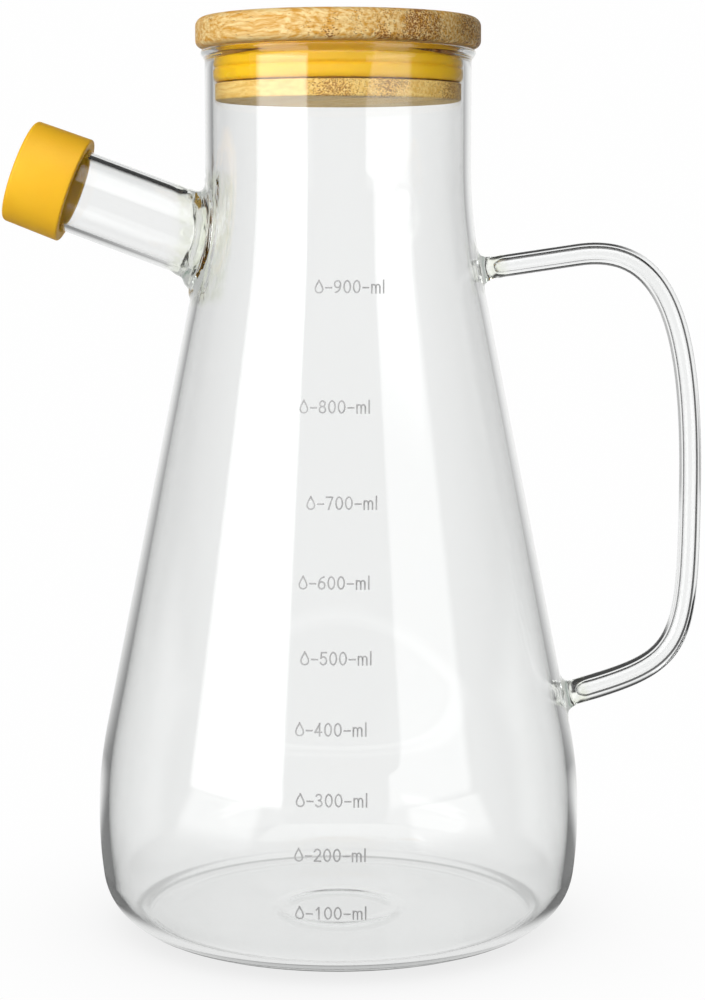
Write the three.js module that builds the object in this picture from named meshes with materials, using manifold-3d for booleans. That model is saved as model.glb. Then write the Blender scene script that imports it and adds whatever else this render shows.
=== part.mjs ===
// Kitchen oil can: a blown glass flask with a pouring spout and a rod handle welded on,
// closed by a bamboo lid with a ribbed silicone seal and by a slip-on silicone spout cap.
// Millimetres, +Z up along the flask's axis, origin at the middle of the flask's foot,
// +X towards the handle and -X towards the spout.
import * as THREE from "three";
import { mergeVertices } from "three/addons/utils/BufferGeometryUtils.js";
import Module from "manifold-3d";

// Flask, measured outside unless said otherwise
const RIM_HEIGHT = 196.2;
const BODY_RADIUS = 54.5;
const BELLY_HEIGHT = 25.5; // where the body is widest
const BELLY_ARC = 101; // upright curve of the belly
const FOOT_ARC = 13.7; // curve from the flat foot into the belly
const SHOULDER_ARC = 122; // hollow curve from the cone into the neck
const NECK_RADIUS = 29.5;
const NECK_LENGTH = 24.7;
const WALL = 1.7;
const FLOOR = 3.5; // thickness of the glass under the inside
const FLOOR_RING_RADIUS = 13.9; // low ring left in the floor by the blowing mould
const FLOOR_RING_WIDTH = 3;
const FLOOR_RING_HEIGHT = 0.7;
const LIP_FLARE = 0.9; // how far the fire-polished lip stands out from the neck
const LIP_HEIGHT = 2.6;
const LIP_ROUND = 0.7;

// Spout
const SPOUT_DROP = 41.1; // from the rim down to the middle of the spout's root
const SPOUT_TILT = THREE.MathUtils.degToRad(20.4); // above level
const SPOUT_RADIUS = 9.3;
const SPOUT_WALL = 1.5;
const SPOUT_LENGTH = 40.5; // from the flask's wall to the spout's mouth
const SPOUT_MOUTH_ROUND = 0.5;
const SPOUT_WELD_LENGTH = 6.6;
const SPOUT_WELD_SPREAD = 4.2; // how far the weld reaches out over the flask's wall
const SPOUT_WELD_EDGE = 0.5; // thickness of the weld where it dies out on the spout

// Spout cap
const CAP_LENGTH = 13.4;
const CAP_WALL = 2.3;
const CAP_END = 2.2;
const CAP_ROUND = 0.8;

// Handle
const HANDLE_DROP = 48.1; // from the rim down to the middle of the upper weld
const HANDLE_FOOT_HEIGHT = 51.9; // of the middle of the lower weld
const HANDLE_RADIUS = 2.45;
const FINGER_ROOM = 35; // between the flask and the grip, half way up the handle
const UPPER_ARM_RISE = THREE.MathUtils.degToRad(8.5);
const LOWER_ARM_RISE = THREE.MathUtils.degToRad(17.2);
const UPPER_ARM_LENGTH = 16.7; // straight, before the upper bend
const UPPER_BEND_PULL = [0.755, 0.671]; // how far the bend reaches into its corner, arm side and grip side
const LOWER_BEND_PULL = [0.961, 0.932];
const HANDLE_WELD_LENGTH = 4.4;
const HANDLE_WELD_SPREAD = 2.4;

// Lid and its seal
const LID_OVERHANG = 1.1; // past the lip
const LID_THICKNESS = 6.8;
const LID_ROUND = 2;
const PLUG_PLAY = 0.6; // between plug and neck, all round
const PLUG_LEDGE = 3.7; // height of the plug below the seal
const PLUG_CHAMFER = 0.5;
const SEAL_PLAY = 0.2; // between seal and neck, and between seal and its seat
const SEAL_THICKNESS = 3;
const SEAL_HEIGHT = 7.3;
const RIB_COUNT = 2;
const RIB_HEIGHT = 2.9;
const RIB_DEPTH = 1.3; // how far a rib stands out from the seal

const CLEARANCE = 0.3; // between pieces that meet

// How finely round shapes are divided
const ROUND_SIDES = 60;
const SPOUT_SIDES = 36;
const ROD_SIDES = 12;
const ROD_STEPS = 44;

const CLEAR_GLASS = new THREE.MeshStandardMaterial({
  color: 0xe9efec,
  roughness: 0.05,
  metalness: 0,
  transparent: true,
  opacity: 0.35,
});
const WELD_GLASS = new THREE.MeshStandardMaterial({
  color: 0xcdd3c4,
  roughness: 0.1,
  metalness: 0,
  transparent: true,
  opacity: 0.5,
});
const BAMBOO = new THREE.MeshStandardMaterial({ color: 0xd2a467, roughness: 0.6, metalness: 0 });
const SEAL_SILICONE = new THREE.MeshStandardMaterial({ color: 0xf0b323, roughness: 0.4, metalness: 0 });
const CAP_SILICONE = new THREE.MeshStandardMaterial({ color: 0xf2b635, roughness: 0.55, metalness: 0 });

const wasm = await Module();
wasm.setup();

// A closed geometry as a solid that can be cut. Triangles that the axis folds flat are left out.
function solidOf(geometry) {
  const bare = geometry.clone();
  bare.deleteAttribute("normal");
  bare.deleteAttribute("uv");
  const merged = mergeVertices(bare, 1e-4);
  const corners = merged.index.array;
  const kept = [];
  for (let i = 0; i < corners.length; i += 3) {
    const [a, b, c] = corners.subarray(i, i + 3);
    if (a !== b && b !== c && c !== a) kept.push(a, b, c);
  }
  return new wasm.Manifold(
    new wasm.Mesh({
      numProp: 3,
      vertProperties: merged.getAttribute("position").array,
      triVerts: new Uint32Array(kept),
    }),
  );
}

function geometryOf(solid) {
  const { vertProperties, triVerts } = solid.getMesh();
  const geometry = new THREE.BufferGeometry();
  geometry.setAttribute("position", new THREE.BufferAttribute(vertProperties, 3));
  geometry.setIndex(new THREE.BufferAttribute(triVerts, 1));
  geometry.computeVertexNormals();
  return geometry;
}

function named(name, geometry, material) {
  const mesh = new THREE.Mesh(geometry, material);
  mesh.name = name;
  return mesh;
}

const point = (radius, height) => new THREE.Vector2(radius, height);

// Points on an arc of a section, angles in radians from the outward direction.
function arc(centre, radius, from, to, steps) {
  return Array.from({ length: steps + 1 }, (_, i) => {
    const angle = THREE.MathUtils.lerp(from, to, i / steps);
    return point(centre.x + radius * Math.cos(angle), centre.y + radius * Math.sin(angle));
  });
}

// A section of (radius, height) points turned about Z.
function turned(section, sides) {
  return new THREE.LatheGeometry(section, sides).rotateX(Math.PI / 2);
}

// The belly and shoulder arcs, and the cone that runs from one to the other, tangent to both.
const neckFoot = RIM_HEIGHT - NECK_LENGTH;
const bellyCentre = point(BODY_RADIUS - BELLY_ARC, BELLY_HEIGHT);
const shoulderCentre = point(NECK_RADIUS + SHOULDER_ARC, neckFoot);
const centres = shoulderCentre.clone().sub(bellyCentre);
const coneAngle = centres.angle() - Math.acos((BELLY_ARC + SHOULDER_ARC) / centres.length());

// The outside of the wall from the axis to the foot of the neck, drawn inwards by inset, on a given floor.
function wallSection(inset, floor) {
  const footArc = FOOT_ARC - inset;
  const bellyArc = BELLY_ARC - inset;
  const rise = floor + footArc - bellyCentre.y;
  const footRadius = bellyCentre.x + Math.sqrt((bellyArc - footArc) ** 2 - rise ** 2);
  const footCentre = point(footRadius, floor + footArc);
  const meeting = footCentre.clone().sub(bellyCentre);
  const meetingAngle = Math.atan2(meeting.y, meeting.x);
  return [
    ...arc(footCentre, footArc, -Math.PI / 2, meetingAngle, 4),
    ...arc(bellyCentre, bellyArc, meetingAngle, coneAngle, 6).slice(1),
    ...arc(shoulderCentre, SHOULDER_ARC + inset, Math.PI + coneAngle, Math.PI, 4),
  ];
}

// The flask's outside radius at a height above the foot's curve.
function outsideRadius(height) {
  const coneFoot = bellyCentre.y + BELLY_ARC * Math.sin(coneAngle);
  const coneTop = shoulderCentre.y - SHOULDER_ARC * Math.sin(coneAngle);
  if (height >= neckFoot) return NECK_RADIUS;
  if (height > coneTop) {
    return shoulderCentre.x - Math.sqrt(SHOULDER_ARC ** 2 - (height - shoulderCentre.y) ** 2);
  }
  if (height > coneFoot) {
    const footRadius = bellyCentre.x + BELLY_ARC * Math.cos(coneAngle);
    return footRadius - (height - coneFoot) * Math.tan(coneAngle);
  }
  return bellyCentre.x + Math.sqrt(BELLY_ARC ** 2 - (height - bellyCentre.y) ** 2);
}

// A group on the flask's wall at a height, whose Z points away from the wall.
// side is 1 towards the handle and -1 towards the spout.
function wallPlace(height, rise, side) {
  const place = new THREE.Group();
  place.position.set(side * (outsideRadius(height) + CLEARANCE), 0, height);
  place.rotation.y = side * (Math.PI / 2 - rise);
  place.updateMatrix();
  return place;
}

// How far along a place's Z the flask's wall lies, clearance included, at a point beside its axis.
function wallDepth(place, x, y) {
  let [low, high] = [-BODY_RADIUS, BODY_RADIUS];
  while (high - low > 1e-5) {
    const middle = (low + high) / 2;
    const at = new THREE.Vector3(x, y, middle).applyMatrix4(place.matrix);
    const outside = Math.hypot(at.x, at.y) - outsideRadius(at.z) - CLEARANCE;
    if (outside > 0) high = middle;
    else low = middle;
  }
  return high;
}

// Bends a piece made for a flat wall onto the flask: its points at Z 0 move along Z onto the wall,
// those at a given height stay, and those between move in proportion.
function seated(geometry, place, height) {
  const positions = geometry.getAttribute("position");
  for (let i = 0; i < positions.count; i++) {
    const z = positions.getZ(i);
    const depth = wallDepth(place, positions.getX(i), positions.getY(i));
    positions.setZ(i, z + depth * (1 - z / height));
  }
  return geometry;
}

// A hollow quarter curve in a section, from a point on the wall to a point on the tube.
function weldCurve(onWall, onTube) {
  const inner = point(onTube.x, onWall.y);
  const curve = new THREE.QuadraticBezierCurve(onWall, inner, onTube);
  return curve.getPoints(5);
}

const spoutPlace = wallPlace(RIM_HEIGHT - SPOUT_DROP, SPOUT_TILT, -1);
const spoutBore = SPOUT_RADIUS - SPOUT_WALL;

function makeFlaskBody() {
  const lipRadius = NECK_RADIUS + LIP_FLARE;
  const bore = NECK_RADIUS - WALL;
  const lipEdge = RIM_HEIGHT - LIP_ROUND;
  const halfRing = FLOOR_RING_WIDTH / 2;
  const section = [
    point(0, 0),
    ...wallSection(0, 0),
    point(NECK_RADIUS, RIM_HEIGHT - LIP_HEIGHT),
    ...arc(point(lipRadius - LIP_ROUND, lipEdge), LIP_ROUND, 0, Math.PI / 2, 2),
    ...arc(point(bore + LIP_ROUND, lipEdge), LIP_ROUND, Math.PI / 2, Math.PI, 2),
    ...wallSection(WALL, FLOOR).reverse(),
    point(FLOOR_RING_RADIUS + halfRing, FLOOR),
    point(FLOOR_RING_RADIUS, FLOOR + FLOOR_RING_HEIGHT),
    point(FLOOR_RING_RADIUS - halfRing, FLOOR),
    point(0, FLOOR),
  ];
  const holeEnds = [-SPOUT_RADIUS, SPOUT_RADIUS];
  const holeSection = [
    point(0, holeEnds[0]),
    ...holeEnds.map((end) => point(spoutBore, end)),
    point(0, holeEnds[1]),
  ];
  const hole = turned(holeSection, SPOUT_SIDES).applyMatrix4(spoutPlace.matrix);
  return geometryOf(solidOf(turned(section, ROUND_SIDES)).subtract(solidOf(hole)));
}

function makeSpoutTube() {
  const edge = SPOUT_LENGTH - SPOUT_MOUTH_ROUND;
  const section = [
    point(spoutBore, 0),
    point(SPOUT_RADIUS, 0),
    ...arc(point(SPOUT_RADIUS - SPOUT_MOUTH_ROUND, edge), SPOUT_MOUTH_ROUND, 0, Math.PI / 2, 2),
    ...arc(point(spoutBore + SPOUT_MOUTH_ROUND, edge), SPOUT_MOUTH_ROUND, Math.PI / 2, Math.PI, 2),
    point(spoutBore, 0),
  ];
  return geometryOf(solidOf(seated(turned(section, SPOUT_SIDES), spoutPlace, SPOUT_LENGTH)));
}

function makeSpoutWeld() {
  const inner = SPOUT_RADIUS + CLEARANCE;
  const thinEnd = point(inner + SPOUT_WELD_EDGE, SPOUT_WELD_LENGTH);
  const section = [
    point(inner, 0),
    ...weldCurve(point(SPOUT_RADIUS + SPOUT_WELD_SPREAD, 0), thinEnd),
    point(inner, SPOUT_WELD_LENGTH),
    point(inner, 0),
  ];
  return geometryOf(solidOf(seated(turned(section, SPOUT_SIDES), spoutPlace, SPOUT_WELD_LENGTH)));
}

function makeSpoutCap() {
  const bore = SPOUT_RADIUS + CLEARANCE;
  const outside = bore + CAP_WALL;
  const inEnd = SPOUT_LENGTH + CLEARANCE;
  const outEnd = inEnd + CAP_END;
  const mouth = outEnd - CAP_LENGTH;
  const round = CAP_ROUND;
  const section = [
    point(bore, mouth),
    ...arc(point(outside - round, mouth + round), round, -Math.PI / 2, 0, 2),
    ...arc(point(outside - round, outEnd - round), round, 0, Math.PI / 2, 3),
    point(0, outEnd),
    point(0, inEnd),
    point(bore, inEnd),
    point(bore, mouth),
  ];
  return geometryOf(solidOf(turned(section, SPOUT_SIDES)));
}

const upperPlace = wallPlace(RIM_HEIGHT - HANDLE_DROP, UPPER_ARM_RISE, 1);
const lowerPlace = wallPlace(HANDLE_FOOT_HEIGHT, LOWER_ARM_RISE, 1);

// A foot of glass between the flask's wall and an end of the handle's rod.
function makeHandleWeld(place) {
  const section = [
    point(0, 0),
    ...weldCurve(
      point(HANDLE_RADIUS + HANDLE_WELD_SPREAD, 0),
      point(HANDLE_RADIUS, HANDLE_WELD_LENGTH),
    ),
    point(0, HANDLE_WELD_LENGTH),
  ];
  return geometryOf(solidOf(seated(turned(section, ROD_SIDES * 2), place, HANDLE_WELD_LENGTH)));
}

// The rod runs out along the upper arm, bends down into the grip and bends back along the lower arm.
function makeHandleRod() {
  const along = (place, distance) => new THREE.Vector3(0, 0, distance).applyMatrix4(place.matrix);
  const rodStart = HANDLE_WELD_LENGTH + CLEARANCE;
  const gripHeight = (upperPlace.position.z + lowerPlace.position.z) / 2;
  const reach = outsideRadius(gripHeight) + FINGER_ROOM + HANDLE_RADIUS;
  const grip = new THREE.Vector3(reach, 0, gripHeight);
  // A bend from a point on an arm to the grip, pulled towards the corner where the two would cross.
  const bend = (place, rise, distance, [armPull, gripPull]) => {
    const start = along(place, distance);
    const corner = new THREE.Vector3(reach, 0, start.z + (reach - start.x) * Math.tan(rise));
    return [start, start.clone().lerp(corner, armPull), grip.clone().lerp(corner, gripPull), grip];
  };
  const armEnd = rodStart + UPPER_ARM_LENGTH;
  const path = new THREE.CurvePath();
  path.add(new THREE.LineCurve3(along(upperPlace, rodStart), along(upperPlace, armEnd)));
  path.add(new THREE.CubicBezierCurve3(...bend(upperPlace, UPPER_ARM_RISE, armEnd, UPPER_BEND_PULL)));
  const lowerBend = bend(lowerPlace, LOWER_ARM_RISE, rodStart, LOWER_BEND_PULL).reverse();
  path.add(new THREE.CubicBezierCurve3(...lowerBend));
  const section = new THREE.Shape().absarc(0, 0, HANDLE_RADIUS, 0, 2 * Math.PI);
  const rod = new THREE.ExtrudeGeometry(section, {
    steps: ROD_STEPS,
    curveSegments: ROD_SIDES / 2,
    extrudePath: path,
  });
  return geometryOf(solidOf(rod));
}

// Heights in the lid's group, whose Z 0 is the underside of the lid's disc.
const neckBore = NECK_RADIUS - WALL;
const sealOutside = neckBore - SEAL_PLAY;
const sealInside = sealOutside - SEAL_THICKNESS;
const sealTop = -CLEARANCE;
const sealBottom = sealTop - SEAL_HEIGHT;
const grooveBottom = sealBottom - CLEARANCE;

function makeLidDisc() {
  const radius = NECK_RADIUS + LIP_FLARE + LID_OVERHANG;
  const edge = radius - LID_ROUND;
  const section = [
    point(0, 0),
    ...arc(point(edge, LID_ROUND), LID_ROUND, -Math.PI / 2, 0, 3),
    ...arc(point(edge, LID_THICKNESS - LID_ROUND), LID_ROUND, 0, Math.PI / 2, 3),
    point(0, LID_THICKNESS),
  ];
  return geometryOf(solidOf(turned(section, ROUND_SIDES)));
}

// The plug under the disc, with a seat for the seal cut into its upper part.
function makeLidPlug() {
  const radius = neckBore - PLUG_PLAY;
  const bottom = grooveBottom - PLUG_LEDGE;
  const seat = sealInside - SEAL_PLAY;
  const section = [
    point(0, bottom),
    point(radius - PLUG_CHAMFER, bottom),
    point(radius, bottom + PLUG_CHAMFER),
    point(radius, grooveBottom),
    point(seat, grooveBottom),
    point(seat, 0),
    point(0, 0),
  ];
  return geometryOf(solidOf(turned(section, ROUND_SIDES)));
}

// A ring with rounded ribs that press on the neck, and a plain collar above them.
function makeSealRing() {
  const root = sealOutside - RIB_DEPTH;
  const ribs = Array.from({ length: RIB_COUNT }, (_, i) => {
    const foot = sealBottom + i * RIB_HEIGHT;
    const middle = point(root, foot + RIB_HEIGHT / 2);
    const round = arc(point(0, 0), 1, -Math.PI / 2, Math.PI / 2, 6);
    const rib = round.map((p) => point(middle.x + p.x * RIB_DEPTH, middle.y + (p.y * RIB_HEIGHT) / 2));
    return i === 0 ? rib : rib.slice(1);
  });
  const section = [
    point(sealInside, sealBottom),
    ...ribs.flat(),
    point(root, sealTop),
    point(sealInside, sealTop),
    point(sealInside, sealBottom),
  ];
  return geometryOf(solidOf(turned(section, ROUND_SIDES)));
}

const oilCan = new THREE.Group();
oilCan.add(named("flask_body", makeFlaskBody(), CLEAR_GLASS));

spoutPlace.add(named("spout_tube", makeSpoutTube(), CLEAR_GLASS));
spoutPlace.add(named("spout_weld", makeSpoutWeld(), WELD_GLASS));
spoutPlace.add(named("spout_cap", makeSpoutCap(), CAP_SILICONE));
upperPlace.add(named("handle_upper_weld", makeHandleWeld(upperPlace), WELD_GLASS));
lowerPlace.add(named("handle_lower_weld", makeHandleWeld(lowerPlace), WELD_GLASS));
oilCan.add(spoutPlace, upperPlace, lowerPlace);
oilCan.add(named("handle_rod", makeHandleRod(), CLEAR_GLASS));

const lid = new THREE.Group();
lid.position.z = RIM_HEIGHT + CLEARANCE;
lid.add(named("lid_disc", makeLidDisc(), BAMBOO));
lid.add(named("lid_plug", makeLidPlug(), BAMBOO));
lid.add(named("seal_ring", makeSealRing(), SEAL_SILICONE));
oilCan.add(lid);

export default oilCan;
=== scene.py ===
"""Looks of the kitchen oil can: fused glass flask, bamboo lid, silicone seal and cap, printed scale.

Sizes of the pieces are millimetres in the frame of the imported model: +Z up along the flask's axis,
origin at the middle of the foot, +X towards the handle and -X towards the spout. Sizes in materials,
lamps and the studio are metres.
"""
from __future__ import annotations

import logging
import math
from collections.abc import Callable
from dataclasses import dataclass, field
from enum import Enum

import bpy
import numpy as np
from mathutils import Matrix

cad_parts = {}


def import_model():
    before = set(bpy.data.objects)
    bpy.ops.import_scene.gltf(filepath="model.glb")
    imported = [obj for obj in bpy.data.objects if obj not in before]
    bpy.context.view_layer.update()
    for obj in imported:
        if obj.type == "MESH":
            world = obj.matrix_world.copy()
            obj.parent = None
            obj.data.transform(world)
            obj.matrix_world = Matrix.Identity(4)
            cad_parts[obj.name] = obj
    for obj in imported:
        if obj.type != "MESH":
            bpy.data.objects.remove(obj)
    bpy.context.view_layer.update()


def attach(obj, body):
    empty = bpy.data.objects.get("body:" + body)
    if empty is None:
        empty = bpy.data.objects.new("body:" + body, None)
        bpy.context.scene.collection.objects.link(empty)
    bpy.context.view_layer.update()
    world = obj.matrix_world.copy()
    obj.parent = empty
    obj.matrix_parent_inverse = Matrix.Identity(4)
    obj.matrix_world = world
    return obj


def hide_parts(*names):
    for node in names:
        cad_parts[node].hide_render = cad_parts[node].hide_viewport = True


LOG = logging.getLogger("oil_can")
MM = 0.001
QUARTER = math.pi / 2
HALF = math.pi
CRISP = math.radians(40)
STROKE_POINTS = 17
Field = Callable[[np.ndarray], np.ndarray]
Pair = tuple[float, float]
Triple = tuple[float, float, float]

# where a change starts and ends, and the value before and after it
Ramp = tuple[float, float, float, float]


class Body(Enum):
    """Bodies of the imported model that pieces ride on."""

    FLASK = "flask"
    SEAL = "seal"
    LID = "lid"
    CAP = "cap"


class Slot(Enum):
    """Material slots of the record."""

    CLEAR_GLASS = "clear_glass"
    BAMBOO = "bamboo"
    SEAL_SILICONE = "seal_silicone"
    CAP_SILICONE = "cap_silicone"


# Curves, frames and meshes


def arc(centre: Pair, radius: float, start: float, end: float, steps: int) -> np.ndarray:
    """A round stretch of a section: the centre plus the radius times (cos, sin) of an even angle.

    Args:
        centre: radius and height of the arc's centre.
        radius: of the arc.
        start: first angle in radians, from the outward direction.
        end: last angle.
        steps: how many chords.

    Returns:
        An array of steps + 1 (radius, height) points.
    """
    angles = np.linspace(start, end, steps + 1)
    across, up = radius * np.cos(angles), radius * np.sin(angles)
    return np.stack([centre[0] + across, centre[1] + up], axis=-1)


def end_face(radius: float, height: float, crown: float, points: int) -> np.ndarray:
    """Section of an end from the axis out: the height less the crown times the radius' share squared."""
    share = np.linspace(0, 1, points)
    return np.stack([share * radius, height - crown * share**2], axis=-1)


def smooth(value: np.ndarray) -> np.ndarray:
    """Eases 0 to 1 with level ends: 3v^2 - 2v^3 of the value held between 0 and 1."""
    held = np.clip(value, 0.0, 1.0)
    return held * held * (3.0 - 2.0 * held)


def bell(value: np.ndarray, middle: np.ndarray | float, width: float) -> np.ndarray:
    """A bell of height 1: e to the power of minus ((value - middle) / width)^2."""
    return np.exp(-(((value - middle) / width) ** 2))


@dataclass(frozen=True)
class Place:
    """A right-handed frame on the object: across, up and along are unit directions."""

    origin: np.ndarray
    across: np.ndarray
    up: np.ndarray
    along: np.ndarray

    def ring(self, angle: np.ndarray, radius: np.ndarray, distance: np.ndarray) -> np.ndarray:
        """Points round the frame's axis: origin + distance along + radius (cos across + sin up).

        Args:
            angle: about the axis, in radians from across towards up.
            radius: from the axis.
            distance: along the axis.

        Returns:
            Points in the shape that the three arrays broadcast to, with a last axis of 3.
        """
        angle, radius, distance = np.broadcast_arrays(angle, radius, distance)
        side = np.cos(angle)[..., None] * self.across + np.sin(angle)[..., None] * self.up
        return self.origin + distance[..., None] * self.along + radius[..., None] * side

    def bearing(self, points: np.ndarray) -> np.ndarray:
        """Angle of points about the axis, in radians from across towards up."""
        away = points - self.origin
        return np.arctan2(away @ self.up, away @ self.across)

    def stick(self, points: np.ndarray, radius: float) -> np.ndarray:
        """Signed distance of points to an endless round stick on the axis."""
        away = points - self.origin
        return np.linalg.norm(np.cross(away, self.along), axis=-1) - radius


UPRIGHT = Place(np.zeros(3), np.array([1.0, 0, 0]), np.array([0, 1.0, 0]), np.array([0, 0, 1.0]))


class Patchwork:
    """Points and faces of one closed skin, gathered from grids that may share their edges."""

    def __init__(self) -> None:
        """Starts with no points and no faces."""
        self._points: list[np.ndarray] = []
        self._remelt: list[np.ndarray] = []
        self._quads: list[np.ndarray] = []
        self._triangles: list[np.ndarray] = []
        self._count = 0

    def add(self, points: np.ndarray, remelt: np.ndarray | float = 0.0) -> np.ndarray:
        """Adds a grid of points.

        Args:
            points: places in millimetres, any shape with a last axis of 3.
            remelt: how far the glass was melted again there, 0 to 1.

        Returns:
            The points' numbers in the mesh, in the grid's shape.
        """
        numbers = self._count + np.arange(points[..., 0].size).reshape(points.shape[:-1])
        self._points.append(points.reshape(-1, 3))
        self._remelt.append(np.broadcast_to(remelt, numbers.shape).reshape(-1))
        self._count += numbers.size
        return numbers

    def weave(self, rings: np.ndarray, keep: np.ndarray | None = None) -> None:
        """Joins each ring of a stack to the next with quads, the rings closing on themselves.

        Args:
            rings: numbers, one row for each ring, in one stack or several.
            keep: which quads stay, one value for each, or None for all.
        """
        after = np.roll(rings, -1, axis=-1)
        low, high = np.s_[..., :-1, :], np.s_[..., 1:, :]
        quads = np.stack([rings[low], after[low], after[high], rings[high]], axis=-1)
        self._quads.append(quads.reshape(-1, 4) if keep is None else quads[keep])

    def close_square(self, rings: np.ndarray) -> None:
        """Closes both ends of stacks of rings that have four corners each."""
        self._quads += [rings[:, 0, ::-1], rings[:, -1]]

    def close(self, ring: np.ndarray, pole: np.ndarray, at_end: bool) -> None:
        """Closes one end of a stack of rings with triangles to a pole.

        Args:
            ring: numbers of the ring at that end.
            pole: place of the point that the triangles meet in.
            at_end: whether it is the stack's end, or else its start.
        """
        number = np.full_like(ring, self.add(pole.reshape(1, 3))[0])
        after = np.roll(ring, -1)
        corners = (ring, after, number) if at_end else (number, after, ring)
        self._triangles.append(np.stack(corners, axis=-1))

    def turn(self, section: np.ndarray, place: Place, sides: int) -> None:
        """Turns a section about a place's axis: each point runs round at its radius and height.

        Args:
            section: (radius, height) points, anticlockwise, from axis to axis or closing on itself.
            place: whose axis it turns about.
            sides: how many points round.
        """
        angles = 2 * np.pi * np.arange(sides) / sides
        on_axis = section[:, 0] < 1e-9
        body = section[~on_axis]
        grid = self.add(place.ring(angles[None, :], body[:, :1], body[:, 1:]))
        if on_axis.any():
            self.weave(grid)
            self.close(grid[0], place.ring(np.zeros(1), np.zeros(1), section[:1, 1]), False)
            self.close(grid[-1], place.ring(np.zeros(1), np.zeros(1), section[-1:, 1]), True)
        else:
            self.weave(np.concatenate([grid, grid[:1]]))

    def make(self, name: str, sharp: float = HALF) -> bpy.types.Object:
        """Makes the mesh object, at the origin, in metres.

        Args:
            name: of the object and its mesh.
            sharp: angle in radians past which an edge isn't shaded smooth.

        Returns:
            The new object, linked to the scene.
        """
        faces = [face for block in self._quads + self._triangles for face in block.tolist()]
        mesh = bpy.data.meshes.new(name)
        mesh.from_pydata((np.concatenate(self._points) * MM).tolist(), [], faces)
        mesh.polygons.foreach_set("use_smooth", np.ones(len(faces), dtype=bool))
        remelt = np.concatenate(self._remelt)
        if remelt.any():
            mesh.attributes.new("remelt", "FLOAT", "POINT").data.foreach_set("value", remelt)
        mesh.set_sharp_from_angle(angle=sharp)
        mesh.update()
        piece = bpy.data.objects.new(name, mesh)
        bpy.context.scene.collection.objects.link(piece)
        return piece


def turned(
    name: str, section: np.ndarray, sides: int, sharp: float = CRISP, place: Place = UPRIGHT
) -> bpy.types.Object:
    """A piece that is one section turned about an axis.

    Args:
        name: of the piece.
        section: as Patchwork.turn takes it.
        sides: how many points round.
        sharp: angle in radians past which an edge isn't shaded smooth.
        place: whose axis it turns about.

    Returns:
        The new piece.
    """
    skin = Patchwork()
    skin.turn(section, place, sides)
    return skin.make(name, sharp)


def rounded_union(first: np.ndarray, second: np.ndarray, radius: np.ndarray) -> np.ndarray:
    """Signed distance of two joined shapes with a hollow round of a given radius along their seam.

    Where both distances are under the radius, the surface is the arc on which the two shortfalls
    (radius - distance) have the radius as their length.
    """
    shortfall = np.hypot(np.maximum(radius - first, 0), np.maximum(radius - second, 0))
    return np.maximum(radius, np.minimum(first, second)) - shortfall


def slope(distance: Field, points: np.ndarray, step: float = 0.02) -> np.ndarray:
    """Gradient of a field by central differences over a small step."""
    differences = [distance(points + shift) - distance(points - shift) for shift in step * np.eye(3)]
    return np.stack(differences, axis=-1) / (2 * step)


def settled(points: np.ndarray, distance: Field, rounds: int = 14) -> np.ndarray:
    """Moves points down a field's gradient until the field is zero there, by Newton's steps.

    Args:
        points: where they start.
        distance: the field.
        rounds: how many steps.

    Returns:
        The moved points.
    """
    for _ in range(rounds):
        steepest = slope(distance, points)
        length = np.maximum((steepest**2).sum(-1), 1e-6)
        points = points - (distance(points) / length)[..., None] * steepest
    return points


# The fused glass


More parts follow.
